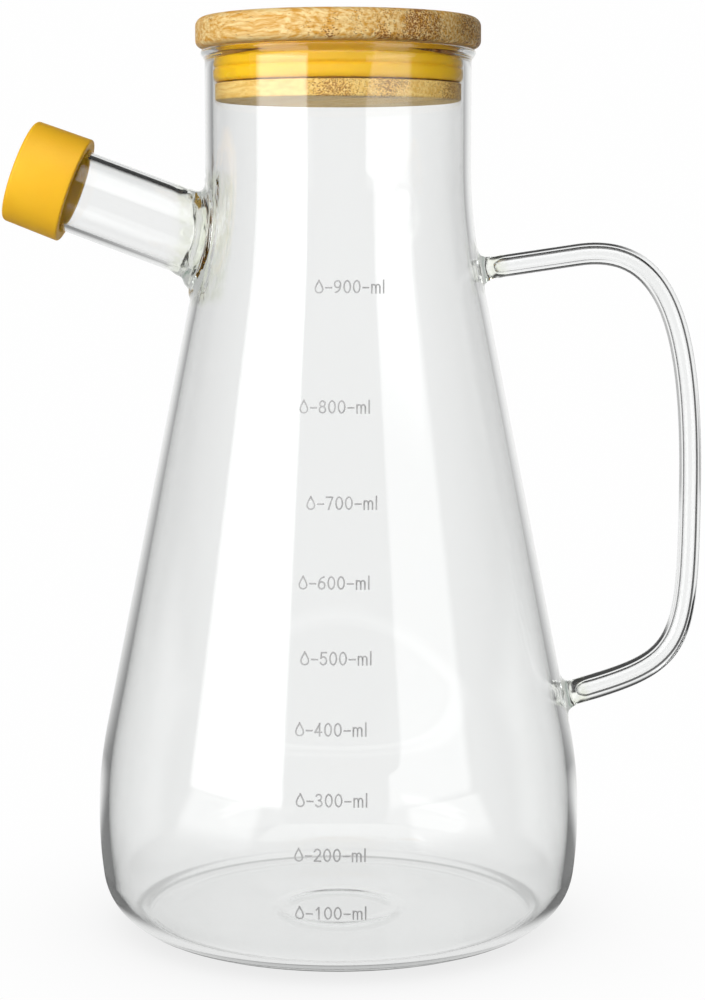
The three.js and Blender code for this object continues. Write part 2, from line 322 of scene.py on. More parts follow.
@dataclass(frozen=True)
class FlaskSection:
    """Outline of the blown flask: foot, belly, cone, shoulder, neck and fire-polished lip."""

    rim_height: float = 196.2
    body_radius: float = 54.5
    belly_height: float = 25.5
    belly_arc: float = 101.0
    foot_arc: float = 13.7
    shoulder_arc: float = 122.0
    neck_radius: float = 29.5
    neck_length: float = 24.7
    wall: float = 1.7
    belly_wall: float = 2.1
    even_height: float = 130.0
    thicken_over: float = 80.0
    floor: float = 1.9
    push_up: float = 0.6
    edge_radius: float = 44.5
    edge_width: float = 1.1
    edge_height: float = 0.35
    ring_radius: float = 13.0
    ring_width: float = 1.6
    ring_height: float = 0.2
    ring_reach: float = 4.0
    lip_flare: float = 0.9
    lip_height: float = 2.6
    lip_round: float = 0.7
    lip_rows_each: int = 5
    foot_rows_outside: int = 14
    foot_rows_inside: int = 44
    belly_rows: int = 14
    under_rows: int = 14
    floor_rows_each: tuple[int, int, int] = (8, 24, 6)

    @property
    def neck_foot(self) -> float:
        """Height where the shoulder ends in the neck."""
        return self.rim_height - self.neck_length

    @property
    def lip_foot(self) -> float:
        """Height where the neck starts to flare into the lip."""
        return self.rim_height - self.lip_height

    @property
    def belly_centre(self) -> np.ndarray:
        """Centre of the belly's arc, as (radius, height)."""
        return np.array([self.body_radius - self.belly_arc, self.belly_height])

    @property
    def shoulder_centre(self) -> np.ndarray:
        """Centre of the shoulder's hollow arc, as (radius, height)."""
        return np.array([self.neck_radius + self.shoulder_arc, self.neck_foot])

    @property
    def cone_angle(self) -> float:
        """Lean of the cone that touches both arcs."""
        across, up = self.shoulder_centre - self.belly_centre
        reach = (self.belly_arc + self.shoulder_arc) / math.hypot(across, up)
        return math.atan2(up, across) - math.acos(reach)

    @property
    def cone_foot(self) -> float:
        """Height where the belly's arc runs into the cone."""
        return self.belly_height + self.belly_arc * math.sin(self.cone_angle)

    @property
    def _normal(self) -> np.ndarray:
        """Outward normal of the cone, as (radius, height)."""
        return np.array([math.cos(self.cone_angle), math.sin(self.cone_angle)])

    def lean(self, height: np.ndarray) -> np.ndarray:
        """How far the outward normal points up at a height, in radians."""
        belly = np.arcsin(np.clip((height - self.belly_height) / self.belly_arc, -1, 1))
        shoulder = np.arcsin(np.clip((self.neck_foot - height) / self.shoulder_arc, 0, 1))
        return np.minimum(np.minimum(belly, self.cone_angle), shoulder)

    def outside(self, height: np.ndarray) -> np.ndarray:
        """Outside radius above the foot's arc: belly arc, cone, shoulder arc or neck.

        Args:
            height: above the floor.

        Returns:
            The radius at each height.
        """
        lean = self.lean(height)
        belly = self.belly_centre[0] + self.belly_arc * np.cos(lean)
        shoulder = self.shoulder_centre[0] - self.shoulder_arc * np.cos(lean)
        cone_radius = self.belly_centre[0] + self.belly_arc * math.cos(self.cone_angle)
        cone = cone_radius - (height - self.cone_foot) * math.tan(self.cone_angle)
        on_cone = np.abs(lean - self.cone_angle) < 1e-9
        return np.where(on_cone, cone, np.where(height < self.cone_foot, belly, shoulder))

    def distance(self, points: np.ndarray) -> np.ndarray:
        """Signed distance to the outside of the wall above the foot, positive in the air outside.

        Args:
            points: in the frame of the model.

        Returns:
            The distance of each, to the neck, the shoulder's arc, the belly's arc or the cone.
        """
        radius, height = np.hypot(points[..., 0], points[..., 1]), points[..., 2]
        belly_side = radius - self.belly_centre[0], height - self.belly_centre[1]
        shoulder_side = self.shoulder_centre[0] - radius, self.shoulder_centre[1] - height
        belly = np.hypot(*belly_side) - self.belly_arc
        shoulder = self.shoulder_arc - np.hypot(*shoulder_side)
        touch = self.belly_centre + self.belly_arc * self._normal
        cone = (radius - touch[0]) * self._normal[0] + (height - touch[1]) * self._normal[1]
        on_neck = height >= self.neck_foot
        on_shoulder = np.arctan2(shoulder_side[1], shoulder_side[0]) < self.cone_angle
        on_belly = np.arctan2(belly_side[1], belly_side[0]) < self.cone_angle
        places = [on_neck, on_shoulder, on_belly]
        return np.select(places, [radius - self.neck_radius, shoulder, belly], cone)

    def inside_distance(self, points: np.ndarray) -> np.ndarray:
        """Signed distance to the inside of the wall, negative in the room for the oil."""
        return self.distance(points) + self.wall

    def wall_rows(self, heights: np.ndarray, inset: np.ndarray | float) -> np.ndarray:
        """Section points at heights of the outside, drawn in square to the wall by an inset."""
        lean = self.lean(heights)
        outside = np.stack([self.outside(heights), heights], axis=-1)
        return outside - (inset * np.stack([np.cos(lean), np.sin(lean)])).T

    def thickness(self, height: np.ndarray) -> np.ndarray:
        """Thickness of the wall at heights of the outside: eased from the belly's to the neck's."""
        share = smooth((self.even_height - height) / self.thicken_over)
        return self.wall + (self.belly_wall - self.wall) * share

    def ridged(self, rows: np.ndarray) -> np.ndarray:
        """Section rows raised by a bell-shaped ridge where the floor turns up into the wall."""
        ridge = self.edge_height * bell(rows[:, 0], self.edge_radius, self.edge_width)
        return rows + np.stack([np.zeros(len(rows)), ridge], axis=-1)

    def foot_rows(self, inset: float, floor: float, first_height: float, rows: int) -> np.ndarray:
        """Section from the flat of the floor round the foot's arc and up the belly.

        Args:
            inset: how far it is drawn in from the outside.
            floor: height of the flat.
            first_height: outside height where the wall's rows start.
            rows: how many on the foot's arc.

        Returns:
            (radius, height) points, the last one just below the wall's rows.
        """
        foot_arc, belly_arc = self.foot_arc - inset, self.belly_arc - inset
        rise = floor + foot_arc - self.belly_height
        radius = self.belly_centre[0] + math.sqrt((belly_arc - foot_arc) ** 2 - rise**2)
        meeting = math.atan2(rise, radius - self.belly_centre[0])
        last = float(self.lean(np.array(first_height)))
        return np.concatenate([
            arc((radius, floor + foot_arc), foot_arc, -QUARTER, meeting, rows),
            arc(tuple(self.belly_centre), belly_arc, meeting, last, self.belly_rows)[1:-1],
        ])

    def lip_rows(self) -> np.ndarray:
        """Section of the lip: an eased flare, a round outside edge and a round inside edge.

        Returns:
            (radius, height) points.
        """
        outer = self.neck_radius + self.lip_flare - self.lip_round
        inner = self.neck_radius - self.wall + self.lip_round
        edge = self.rim_height - self.lip_round
        share = np.linspace(0, 1, self.lip_rows_each + 2)[1:-1]
        radius = self.neck_radius + self.lip_flare * smooth(share)
        return np.concatenate([
            np.stack([radius, self.lip_foot + share * (edge - self.lip_foot)], axis=-1),
            arc((outer, edge), self.lip_round, 0, QUARTER, self.lip_rows_each),
            arc((inner, edge), self.lip_round, QUARTER, HALF, self.lip_rows_each),
        ])

    def _raised(self, radius: np.ndarray, foot_radius: float) -> np.ndarray:
        """Height of the push-up: its middle height times (1 - (r / foot)^2)^2."""
        return self.push_up * (1 - (radius / foot_radius) ** 2) ** 2

    def underside_rows(self, foot_radius: float) -> np.ndarray:
        """Section under the foot, from the axis out along the push-up."""
        radius = np.linspace(0, foot_radius, self.under_rows, endpoint=False)
        return np.stack([radius, self._raised(radius, foot_radius)], axis=-1)

    def floor_rows(self, foot_radius: float) -> np.ndarray:
        """Section of the floor inside: the push-up, with a bell-shaped ring of the mould on it.

        Args:
            foot_radius: where the floor turns up into the foot's arc.

        Returns:
            (radius, height) points from the floor's edge to the axis.
        """
        span = self.ring_reach * self.ring_width
        stops = (foot_radius, self.ring_radius + span, self.ring_radius - span, 0.0)
        radius = np.concatenate([
            np.linspace(start, end, rows + 1)[1:]
            for start, end, rows in zip(stops, stops[1:], self.floor_rows_each)
        ])
        ring = self.ring_height * bell(radius, self.ring_radius, self.ring_width)
        return np.stack([radius, self.floor + self._raised(radius, foot_radius) + ring], axis=-1)


@dataclass(frozen=True)
class Port:
    """A window in the flask's grid of levels and columns, where a piece is welded on."""

    levels: tuple[int, int]
    columns: tuple[int, int]

    def loop(self, grid: np.ndarray) -> np.ndarray:
        """The window's edge in a grid of numbers.

        Args:
            grid: numbers, level by level.

        Returns:
            The edge's numbers, anticlockwise seen from outside.
        """
        (low, high), (left, right) = self.levels, self.columns
        rows, sides = np.arange(low, high), np.arange(left, right)
        at_low, at_high = np.full(sides.size, low), np.full(sides.size, high)
        at_left, at_right = np.full(rows.size, left), np.full(rows.size, right)
        level = np.concatenate([at_low, rows, at_high, rows[::-1] + 1])
        column = np.concatenate([sides, at_right, sides[::-1] + 1, at_left])
        return grid[level, column % grid.shape[1]]

    def blank(self, keep: np.ndarray, first_level: int) -> None:
        """Takes the window's quads out of a mask of quads that starts at a given level."""
        low, high = self.levels
        keep[first_level + low:first_level + high, np.arange(*self.columns) % keep.shape[1]] = False


@dataclass(frozen=True)
class Levels:
    """Numbers and points of the flask's wall, level by level, on one side of the glass."""

    numbers: np.ndarray
    points: np.ndarray

    def edge(self, port: Port) -> tuple[np.ndarray, np.ndarray]:
        """Numbers and points of a window's edge."""
        spots = port.loop(np.arange(self.numbers.size).reshape(self.numbers.shape))
        return self.numbers.reshape(-1)[spots], self.points.reshape(-1, 3)[spots]


@dataclass(frozen=True)
class Wave:
    """A sine round a joint: its size, how often it repeats and its start in radians."""

    size: float
    count: int
    start: float

    def at(self, bearing: np.ndarray, shift: np.ndarray | float = 0.0) -> np.ndarray:
        """Height of the wave at bearings, moved on by a shift in radians."""
        return self.size * np.sin(self.count * bearing + self.start + shift)


@dataclass(frozen=True)
class WeldShape:
    """Form of a weld: its hollow round, what that loses on top, its length, lumps and rows."""

    rounding: float
    less_on_top: float
    length: float
    lump: float
    rows: int


@dataclass(frozen=True)
class Weld:
    """A joint of remelted glass between a wall and a round stick that leaves it."""

    wall: Field
    place: Place
    radius: float
    shape: WeldShape
    search_radii: float = 3.0
    search_more: float = 10.0
    halvings: int = 40
    fade: float = 1.2
    melt: float = 1.6
    wander: tuple[Wave, Wave] = (Wave(0.16, 3, 0.7), Wave(0.1, 5, 2.1))
    ridge_count: float = 4.2
    ridge_share: float = 0.6
    ridge_height: float = 0.65
    ridge_change: Wave = Wave(0.35, 4, 1.3)
    swell: Wave = Wave(1.0, 7, 1.9)
    swell_drift: float = 4.0
    crossing: Wave = Wave(1.0, 2, QUARTER)
    crossing_drift: float = 4.0 * math.pi

    def reach(self, bearing: np.ndarray) -> np.ndarray:
        """Distance along the axis at which lines of the stick's side meet the wall, by halving.

        Args:
            bearing: angle of each line about the stick's axis.

        Returns:
            The distance on each line.
        """
        room = self.search_radii * self.radius + self.search_more
        low, high = np.full_like(bearing, -room), np.full_like(bearing, room)
        for _ in range(self.halvings):
            middle = (low + high) / 2
            outside = self.wall(self.place.ring(bearing, self.radius, middle)) > 0
            low, high = np.where(outside, low, middle), np.where(outside, middle, high)
        return high

    def blend(self, points: np.ndarray) -> np.ndarray:
        """Signed distance to wall and stick joined by the weld's hollow round."""
        rounding = self.shape.rounding - self.shape.less_on_top * np.sin(self.place.bearing(points))
        return rounded_union(self.wall(points), self.place.stick(points, self.radius), rounding)

    def rings(self, edge: np.ndarray, bearing: np.ndarray) -> tuple[np.ndarray, np.ndarray]:
        """Rings from a window's edge to the stick.

        Each line of points starts as a quadratic curve from the edge over the corner, where the
        stick would meet the wall, to the stick, and then settles on the blended surface. Ridges
        that wander round the joint, crossed by slower swells, stand up from it.

        Args:
            edge: points of the window's edge.
            bearing: angle of each line about the stick's axis.

        Returns:
            The rings' points, without the edge, and how far each was melted again.
        """
        share = np.linspace(0, 1, self.shape.rows + 1)[1:, None]
        reach = self.reach(bearing)
        corner = self.place.ring(bearing, self.radius, reach)
        end = self.place.ring(bearing, self.radius, reach + self.shape.length)
        t = share[..., None]
        lines = (1 - t) ** 2 * edge + 2 * t * (1 - t) * corner + t**2 * end
        surface = settled(lines, self.blend)
        window = np.sin(np.pi * share) ** self.fade
        wander = sum(wave.at(bearing) for wave in self.wander)
        ridges = np.sin(2 * np.pi * (self.ridge_count * share + wander))
        ridges = ridges * (self.ridge_height + self.ridge_change.at(bearing))
        swells = self.swell.at(bearing, self.swell_drift * share)
        swells = swells * self.crossing.at(bearing, self.crossing_drift * share)
        folds = self.ridge_share * ridges + (1 - self.ridge_share) * swells
        normal = slope(self.blend, surface)
        normal /= np.linalg.norm(normal, axis=-1, keepdims=True)
        height = self.shape.lump * window * folds
        return surface + height[..., None] * normal, smooth(self.melt * window)


@dataclass
class FusedGlass:
    """The flask with its spout and handle, one skin of glass as they are once welded."""

    section: FlaskSection = field(default_factory=FlaskSection)
    columns: int = 192
    wall_stops: tuple[float, ...] = (45.5, 58.3, 139.1, 171.1)
    wall_levels: tuple[int, ...] = (16, 30, 24, 12)
    spout_port: Port = Port((46, 70), (79, 113))
    upper_port: Port = Port((48, 58), (-7, 7))
    lower_port: Port = Port((0, 16), (-4, 4))
    clearance: float = 0.3
    spout_drop: float = 41.1
    spout_tilt: float = math.radians(20.4)
    spout_radius: float = 9.3
    spout_wall: float = 1.5
    spout_length: float = 40.5
    spout_levels: int = 21
    spout_weld: WeldShape = WeldShape(4.4, 1.4, 8.5, 0.26, 30)
    spout_root: WeldShape = WeldShape(1.5, 0.0, 3.0, 0.12, 18)
    mouth_round: float = 0.6
    mouth_rows: int = 5
    handle_drop: float = 48.1
    handle_foot_height: float = 51.9
    handle_radius: float = 2.45
    handle_foot_radius: float = 2.85
    handle_levels: int = 130
    handle_weld: WeldShape = WeldShape(2.3, 0.0, 7.2, 0.17, 20)
    weld_gap: float = 1.3
    swell_from: float = 45.0
    swell_over: float = 40.0
    bore_radius: float = 1.3
    bore_start: float = 2.4
    bore_end: float = 2.6
    bore_end_levels: int = 10
    bore_levels: int = 120
    finger_room: float = 35.0
    upper_rise: float = math.radians(8.5)
    lower_rise: float = math.radians(17.2)
    arm_start: float = 4.7
    arm_length: float = 16.7
    upper_pull: Pair = (0.755, 0.671)
    lower_pull: Pair = (0.961, 0.932)
    arm_points: int = 60
    bend_points: int = 200
    foot_points: int = 16

    def wall_place(self, height: float, rise: float, side: int) -> Place:
        """A frame on the flask's wall whose axis leaves it.

        Args:
            height: of its origin.
            rise: of its axis, in radians.
            side: 1 at the handle, -1 at the spout.

        Returns:
            The frame.
        """
        start = side * (float(self.section.outside(np.array(height))) + self.clearance)
        along = np.array([side * math.cos(rise), 0, math.sin(rise)])
        across = np.array([0, float(side), 0])
        return Place(np.array([start, 0, height]), across, np.cross(along, across), along)

    @property
    def spout_place(self) -> Place:
        """Frame of the spout, whose axis runs out through its mouth."""
        return self.wall_place(self.section.rim_height - self.spout_drop, self.spout_tilt, -1)

    def build(self) -> bpy.types.Object:
        """Weaves the turned flask, the spout's sleeve and the handle's tube into one skin.

        Returns:
            The glass piece.
        """
        skin = Patchwork()
        stops = (*self.wall_stops, self.section.lip_foot)
        spans = zip(stops, stops[1:], self.wall_levels)
        runs = [np.linspace(low, high, count + 1)[1:] for low, high, count in spans]
        outer, inner = self._turn_flask(skin, np.concatenate([stops[:1], *runs]))
        self._weave_spout(skin, outer, inner)
        self._weave_handle(skin, outer)
        return skin.make("fused_glass")

    def _turn_flask(self, skin: Patchwork, heights: np.ndarray) -> tuple[Levels, Levels]:
        """Turns the whole section, outside and inside, and leaves the windows open.

        Args:
            skin: that it is added to.
            heights: outside heights of the wall's levels.

        Returns:
            The wall's levels on the outside and on the inside.
        """
        section, first = self.section, heights[0]
        foot_out = section.foot_rows(0, 0, first, section.foot_rows_outside)
        foot_in = section.ridged(
            section.foot_rows(section.belly_wall, section.floor, first, section.foot_rows_inside))
        under = section.underside_rows(foot_out[0, 0])
        floor = section.floor_rows(foot_in[0, 0])
        wall_in = section.wall_rows(heights, section.thickness(heights))
        stretches = [
            under[1:], foot_out, section.wall_rows(heights, 0), section.lip_rows(),
            wall_in[::-1], foot_in[::-1], floor[:-1],
        ]
        starts = np.cumsum([0] + [len(stretch) for stretch in stretches])
        rows = np.concatenate(stretches)
        angles = 2 * np.pi * np.arange(self.columns) / self.columns
        points = UPRIGHT.ring(angles[None, :], rows[:, :1], rows[:, 1:])
        numbers = skin.add(points)
        keep = np.ones((len(rows) - 1, self.columns), dtype=bool)
        for port in (self.spout_port, self.upper_port, self.lower_port):
            port.blank(keep, starts[2])
        low, high = self.spout_port.levels
        last = len(heights) - 1
        Port((last - high, last - low), self.spout_port.columns).blank(keep, starts[4])
        skin.weave(numbers, keep)
        skin.close(numbers[0], np.array([0, 0, under[0, 1]]), False)
        skin.close(numbers[-1], np.array([0, 0, floor[-1, 1]]), True)
        outer, inner = slice(starts[2], starts[3]), slice(starts[4], starts[5])
        return Levels(numbers[outer], points[outer]), Levels(numbers[inner][::-1], points[inner][::-1])

    @staticmethod
    def _join(
        skin: Patchwork, edges: tuple[np.ndarray, np.ndarray], first: tuple[np.ndarray, np.ndarray],
        middle: np.ndarray, last: tuple[np.ndarray, np.ndarray],
    ) -> None:
        """Weaves a sleeve of rings between two windows.

        Args:
            skin: that it is added to.
            edges: numbers of the two windows' edges.
            first: rings and remelt of the weld at the first window.
            middle: rings between the welds.
            last: rings and remelt of the weld at the second window, from the window out.
        """
        plain = np.zeros((len(middle), 1))
        rings = np.concatenate([first[0], middle, last[0][::-1]])
        numbers = skin.add(rings, np.concatenate([first[1], plain, last[1][::-1]]))
        skin.weave(np.concatenate([edges[0][None], numbers, edges[1][None]]))

    def _weave_spout(self, skin: Patchwork, outer: Levels, inner: Levels) -> None:
        """One sleeve from the outside window out along the spout, over its mouth and back inside.

        Args:
            skin: that it is added to.
            outer: the wall's outside.
            inner: the wall's inside.
        """
        place, bore = self.spout_place, self.spout_radius - self.spout_wall
        outer_numbers, outer_edge = outer.edge(self.spout_port)
        inner_numbers, inner_edge = inner.edge(self.spout_port)
        count = len(outer_edge)
        bearing = place.bearing(outer_edge)[0] + 2 * np.pi * np.arange(count) / count
        outside = Weld(self.section.distance, place, self.spout_radius, self.spout_weld)
        inside = Weld(self.section.inside_distance, place, bore, self.spout_root)
        edge = self.spout_length - self.mouth_round
        share = np.linspace(0, 1, self.spout_levels + 1)[1:, None]
        out_start = outside.reach(bearing) + self.spout_weld.length
        in_start = inside.reach(bearing) + self.spout_root.length
        out_run = (1 - share) * out_start + share * edge
        in_run = (1 - share) * in_start + share * edge
        outer_lip, inner_lip = self.spout_radius - self.mouth_round, bore + self.mouth_round
        mouth = np.concatenate([
            arc((outer_lip, edge), self.mouth_round, 0, QUARTER, self.mouth_rows)[1:],
            arc((inner_lip, edge), self.mouth_round, QUARTER, HALF, self.mouth_rows)[:-1],
        ])
        middle = np.concatenate([
            place.ring(bearing, self.spout_radius, out_run),
            place.ring(bearing, mouth[:, :1], mouth[:, 1:]),
            place.ring(bearing, bore, in_run[::-1]),
        ])
        self._join(
            skin, (outer_numbers, inner_numbers), outside.rings(outer_edge, bearing), middle,
            inside.rings(inner_edge, bearing))

    def handle_path(self, upper: Place, lower: Place) -> np.ndarray:
        """Middle line of the handle: a straight arm, then two cubic bends that meet at the grip.

        Args:
            upper: frame of the upper weld.
            lower: frame of the lower weld.

        Returns:
            Points from one weld's place on the wall to the other's, close together.
        """
        grip_height = (upper.origin[2] + lower.origin[2]) / 2
        wall = float(self.section.outside(np.array(grip_height)))
        grip = np.array([wall + self.finger_room + self.handle_radius, 0, grip_height])
        arm_run = np.linspace(0, self.arm_start + self.arm_length, self.arm_points)
        arm = upper.origin + arm_run[:, None] * upper.along
        foot_run = np.linspace(self.arm_start, 0, self.foot_points)
        foot = lower.origin + foot_run[:, None] * lower.along
        upper_bend = self._bend(arm[-1], grip, self.upper_rise, self.upper_pull)
        lower_bend = self._bend(foot[0], grip, self.lower_rise, self.lower_pull)
        return np.concatenate([arm, upper_bend[1:], lower_bend[-2::-1], foot[1:]])

    def _bend(self, start: np.ndarray, grip: np.ndarray, rise: float, pull: Pair) -> np.ndarray:
        """Cubic curve from an arm to the grip, pulled into the corner where the two would cross.

        Args:
            start: end of the arm.
            grip: middle of the grip.
            rise: of the arm, in radians.
            pull: how far the curve is pulled to the corner at its start and at the grip.

        Returns:
            Points along the curve.
        """
        share = np.linspace(0, 1, self.bend_points)[:, None]
        rest = 1 - share
        corner = np.array([grip[0], 0, start[2] + (grip[0] - start[0]) * math.tan(rise)])
        near = start + pull[0] * (corner - start)
        far = grip + pull[1] * (corner - grip)
        return rest**3 * start + 3 * rest**2 * share * near + 3 * rest * share**2 * far + share**3 * grip

    @staticmethod
    def _started(
        edge: tuple[np.ndarray, np.ndarray], place: Place, order: int
    ) -> tuple[np.ndarray, np.ndarray]:
        """A window's edge, walked one way round from the point nearest to bearing zero.

        Args:
            edge: its numbers and points.
            place: frame that the bearing is taken in.
            order: 1 for the way given, -1 for the other.

        Returns:
            The numbers and points in that order.
        """
        numbers, points = edge[0][::order], edge[1][::order]
        first = int(np.argmin(np.abs(place.bearing(points))))
        return np.roll(numbers, -first), np.roll(points, -first, axis=0)

    def _weave_handle(self, skin: Patchwork, outer: Levels) -> None:
        """A tube from the upper window round the handle's path to the lower window, with its bore.

        Args:
            skin: that it is added to.
            outer: the wall's outside.
        """
        upper = self.wall_place(self.section.rim_height - self.handle_drop, self.upper_rise, 1)
        lower = self.wall_place(self.handle_foot_height, self.lower_rise, 1)
        into_wall = Place(lower.origin, lower.across, -lower.up, -lower.along)
        upper_numbers, upper_edge = self._started(outer.edge(self.upper_port), upper, 1)
        lower_numbers, lower_edge = self._started(outer.edge(self.lower_port), into_wall, -1)
        bearing = 2 * np.pi * np.arange(len(upper_numbers)) / len(upper_numbers)
        upper_weld = Weld(self.section.distance, upper, self.handle_radius, self.handle_weld)
        lower_weld = Weld(self.section.distance, lower, self.handle_foot_radius, self.handle_weld)
        path = self.handle_path(upper, lower)
        length = self._run(path)[-1]
        bare_from = self.handle_weld.length + self.weld_gap
        bare = np.linspace(bare_from, length - bare_from, self.handle_levels)
        swell = smooth((bare - length + self.swell_from) / self.swell_over)
        radius = self.handle_radius + (self.handle_foot_radius - self.handle_radius) * swell
        self._join(
            skin, (upper_numbers, lower_numbers), upper_weld.rings(upper_edge, bearing),
            self._tube(path, bare, radius, bearing), lower_weld.rings(lower_edge, -bearing))
        first, last = self.bore_start, length - self.bore_start
        ends = self.bore_end * (1 - np.cos(np.linspace(0, QUARTER, self.bore_end_levels)))
        middle = np.linspace(first + self.bore_end, last - self.bore_end, self.bore_levels)
        along = np.concatenate([first + ends[1:], middle[1:-1], last - ends[:0:-1]])
        inset = np.clip(np.minimum(along - first, last - along) / self.bore_end, 0, 1)
        hollow_radius = self.bore_radius * np.sqrt(1 - (1 - inset) ** 2)
        hollow = skin.add(self._tube(path, along, hollow_radius, bearing))[:, ::-1]
        poles, _ = self._follow(path, np.array([first, last]))
        skin.weave(hollow)
        skin.close(hollow[0], poles[0], False)
        skin.close(hollow[-1], poles[1], True)

    @staticmethod
    def _run(path: np.ndarray) -> np.ndarray:
        """Distance of each point along a path."""
        return np.concatenate([[0], np.cumsum(np.linalg.norm(np.diff(path, axis=0), axis=1))])

    def _follow(self, path: np.ndarray, distance: np.ndarray) -> tuple[np.ndarray, np.ndarray]:
        """Points along a path that lies in the XZ plane.

        Args:
            path: points close together.
            distance: of the wanted points from the path's start.

        Returns:
            The wanted points, and unit directions in the plane, square to the path there.
        """
        run = self._run(path)
        ahead = np.gradient(path, run, axis=0)
        square = np.stack([-ahead[:, 2], 0 * run, ahead[:, 0]], axis=-1)
        points, side = (
            np.stack([np.interp(distance, run, line[:, axis]) for axis in range(3)], axis=-1)
            for line in (path, square)
        )
        return points, side / np.linalg.norm(side, axis=1, keepdims=True)

    def _tube(
        self, path: np.ndarray, distance: np.ndarray, radius: np.ndarray, bearing: np.ndarray
    ) -> np.ndarray:
        """Rings about a path in the XZ plane, square to it.

        Args:
            path: points close together.
            distance: of each ring from the path's start.
            radius: of each ring.
            bearing: of the points round a ring, from +Y.

        Returns:
            Points, ring by ring.
        """
        middle, up = self._follow(path, distance)
        around = np.cos(bearing)[:, None] * UPRIGHT.up + np.sin(bearing)[:, None] * up[:, None]
        return middle[:, None] + radius[:, None, None] * around


# Lid, seal and cap


@dataclass
class Lid:
    """Bamboo disc and plug, and the ribbed silicone ring between plug and neck."""

    section: FlaskSection = field(default_factory=FlaskSection)
    clearance: float = 0.3
    overhang: float = 1.1
    thickness: float = 6.8
    crown: float = 0.15
    upper_round: float = 2.0
    lower_round: float = 1.6
    plug_play: float = 0.6
    plug_ledge: float = 3.7
    plug_chamfer: float = 0.5
    seal_play: float = 0.2
    seal_thickness: float = 3.0
    seal_height: float = 7.3
    seal_sharp: float = math.radians(50)
    rib_count: int = 2
    rib_height: float = 3.1
    rib_depth: float = 1.2
    rib_squareness: int = 5
    rib_points: int = 49
    crease_depth: float = 0.5
    crease_width: float = 0.34
    edge_round: float = 0.25
    edge_steps: int = 4
    face_points: int = 12
    sides: int = 144

    @property
    def underside(self) -> float:
        """Height of the disc's underside."""
        return self.section.rim_height + self.clearance

    @property
    def seal_outside(self) -> float:
        """Outside radius of the seal's ribs."""
        return self.section.neck_radius - self.section.wall - self.seal_play

    @property
    def seal_inside(self) -> float:
        """Inside radius of the seal."""
        return self.seal_outside - self.seal_thickness

    @property
    def seal_bottom(self) -> float:
        """Height of the seal's lower edge."""
        return self.underside - self.clearance - self.seal_height

    def build_disc(self) -> bpy.types.Object:
        """The disc: flat underside, rounded lower and upper edges, a faintly crowned top.

        Returns:
            The new piece.
        """
        radius = self.section.neck_radius + self.section.lip_flare + self.overhang
        low, high = self.underside, self.underside + self.thickness
        in_low, in_high = radius - self.lower_round, radius - self.upper_round
        shoulder = high - self.crown - self.upper_round
        return turned("bamboo_disc", np.concatenate([
            end_face(in_low, low, 0.0, self.face_points)[:-1],
            arc((in_low, low + self.lower_round), self.lower_round, -QUARTER, 0, 10),
            arc((in_high, shoulder), self.upper_round, 0, QUARTER, 12),
            end_face(in_high, high, self.crown, self.face_points)[-2::-1],
        ]), self.sides)

    def build_plug(self) -> bpy.types.Object:
        """The plug: a ledge with a rounded lower edge below the seal's seat, its upper edge broken.

        Returns:
            The new piece.
        """
        radius = self.section.neck_radius - self.section.wall - self.plug_play
        groove = self.seal_bottom - self.clearance
        bottom = groove - self.plug_ledge
        seat = self.seal_inside - self.seal_play
        cut, small = self.plug_chamfer, self.edge_round
        return turned("bamboo_plug", np.concatenate([
            end_face(radius - cut, bottom, 0.0, self.face_points)[:-1],
            arc((radius - cut, bottom + cut), cut, -QUARTER, 0, 6),
            arc((radius - small, groove - small), small, 0, QUARTER, self.edge_steps),
            np.array([[seat, groove], [seat, self.underside], [0, self.underside]]),
        ]), self.sides)

    def build_seal(self) -> bpy.types.Object:
        """The ring: a band with round shoulders and soft creases between its ribs, under a collar.

        The band's share of its depth is the root of 1 - |2u - 1|^5 along its height u from 0 to 1,
        less a bell at each crease.

        Returns:
            The new piece.
        """
        root, small = self.seal_outside - self.rib_depth, self.edge_round
        inner, low = self.seal_inside + small, self.seal_bottom + small
        high = self.seal_bottom + self.seal_height - small
        band = self.rib_count * self.rib_height
        share = (1 - np.cos(np.linspace(0, np.pi, self.rib_points))) / 2
        bulge = np.sqrt(1 - np.abs(2 * share - 1) ** self.rib_squareness)
        creases = np.arange(1, self.rib_count) * self.rib_height
        bells = bell(share[:, None] * band, creases, self.crease_width).sum(1)
        radius = root + self.rib_depth * bulge - self.crease_depth * bells
        return turned("silicone_seal", np.concatenate([
            np.stack([radius, self.seal_bottom + share * band], axis=-1),
            arc((root - small, high), small, 0, QUARTER, self.edge_steps),
            arc((inner, high), small, QUARTER, HALF, self.edge_steps),
            arc((inner, low), small, HALF, HALF + QUARTER, self.edge_steps),
        ]), self.sides, self.seal_sharp)


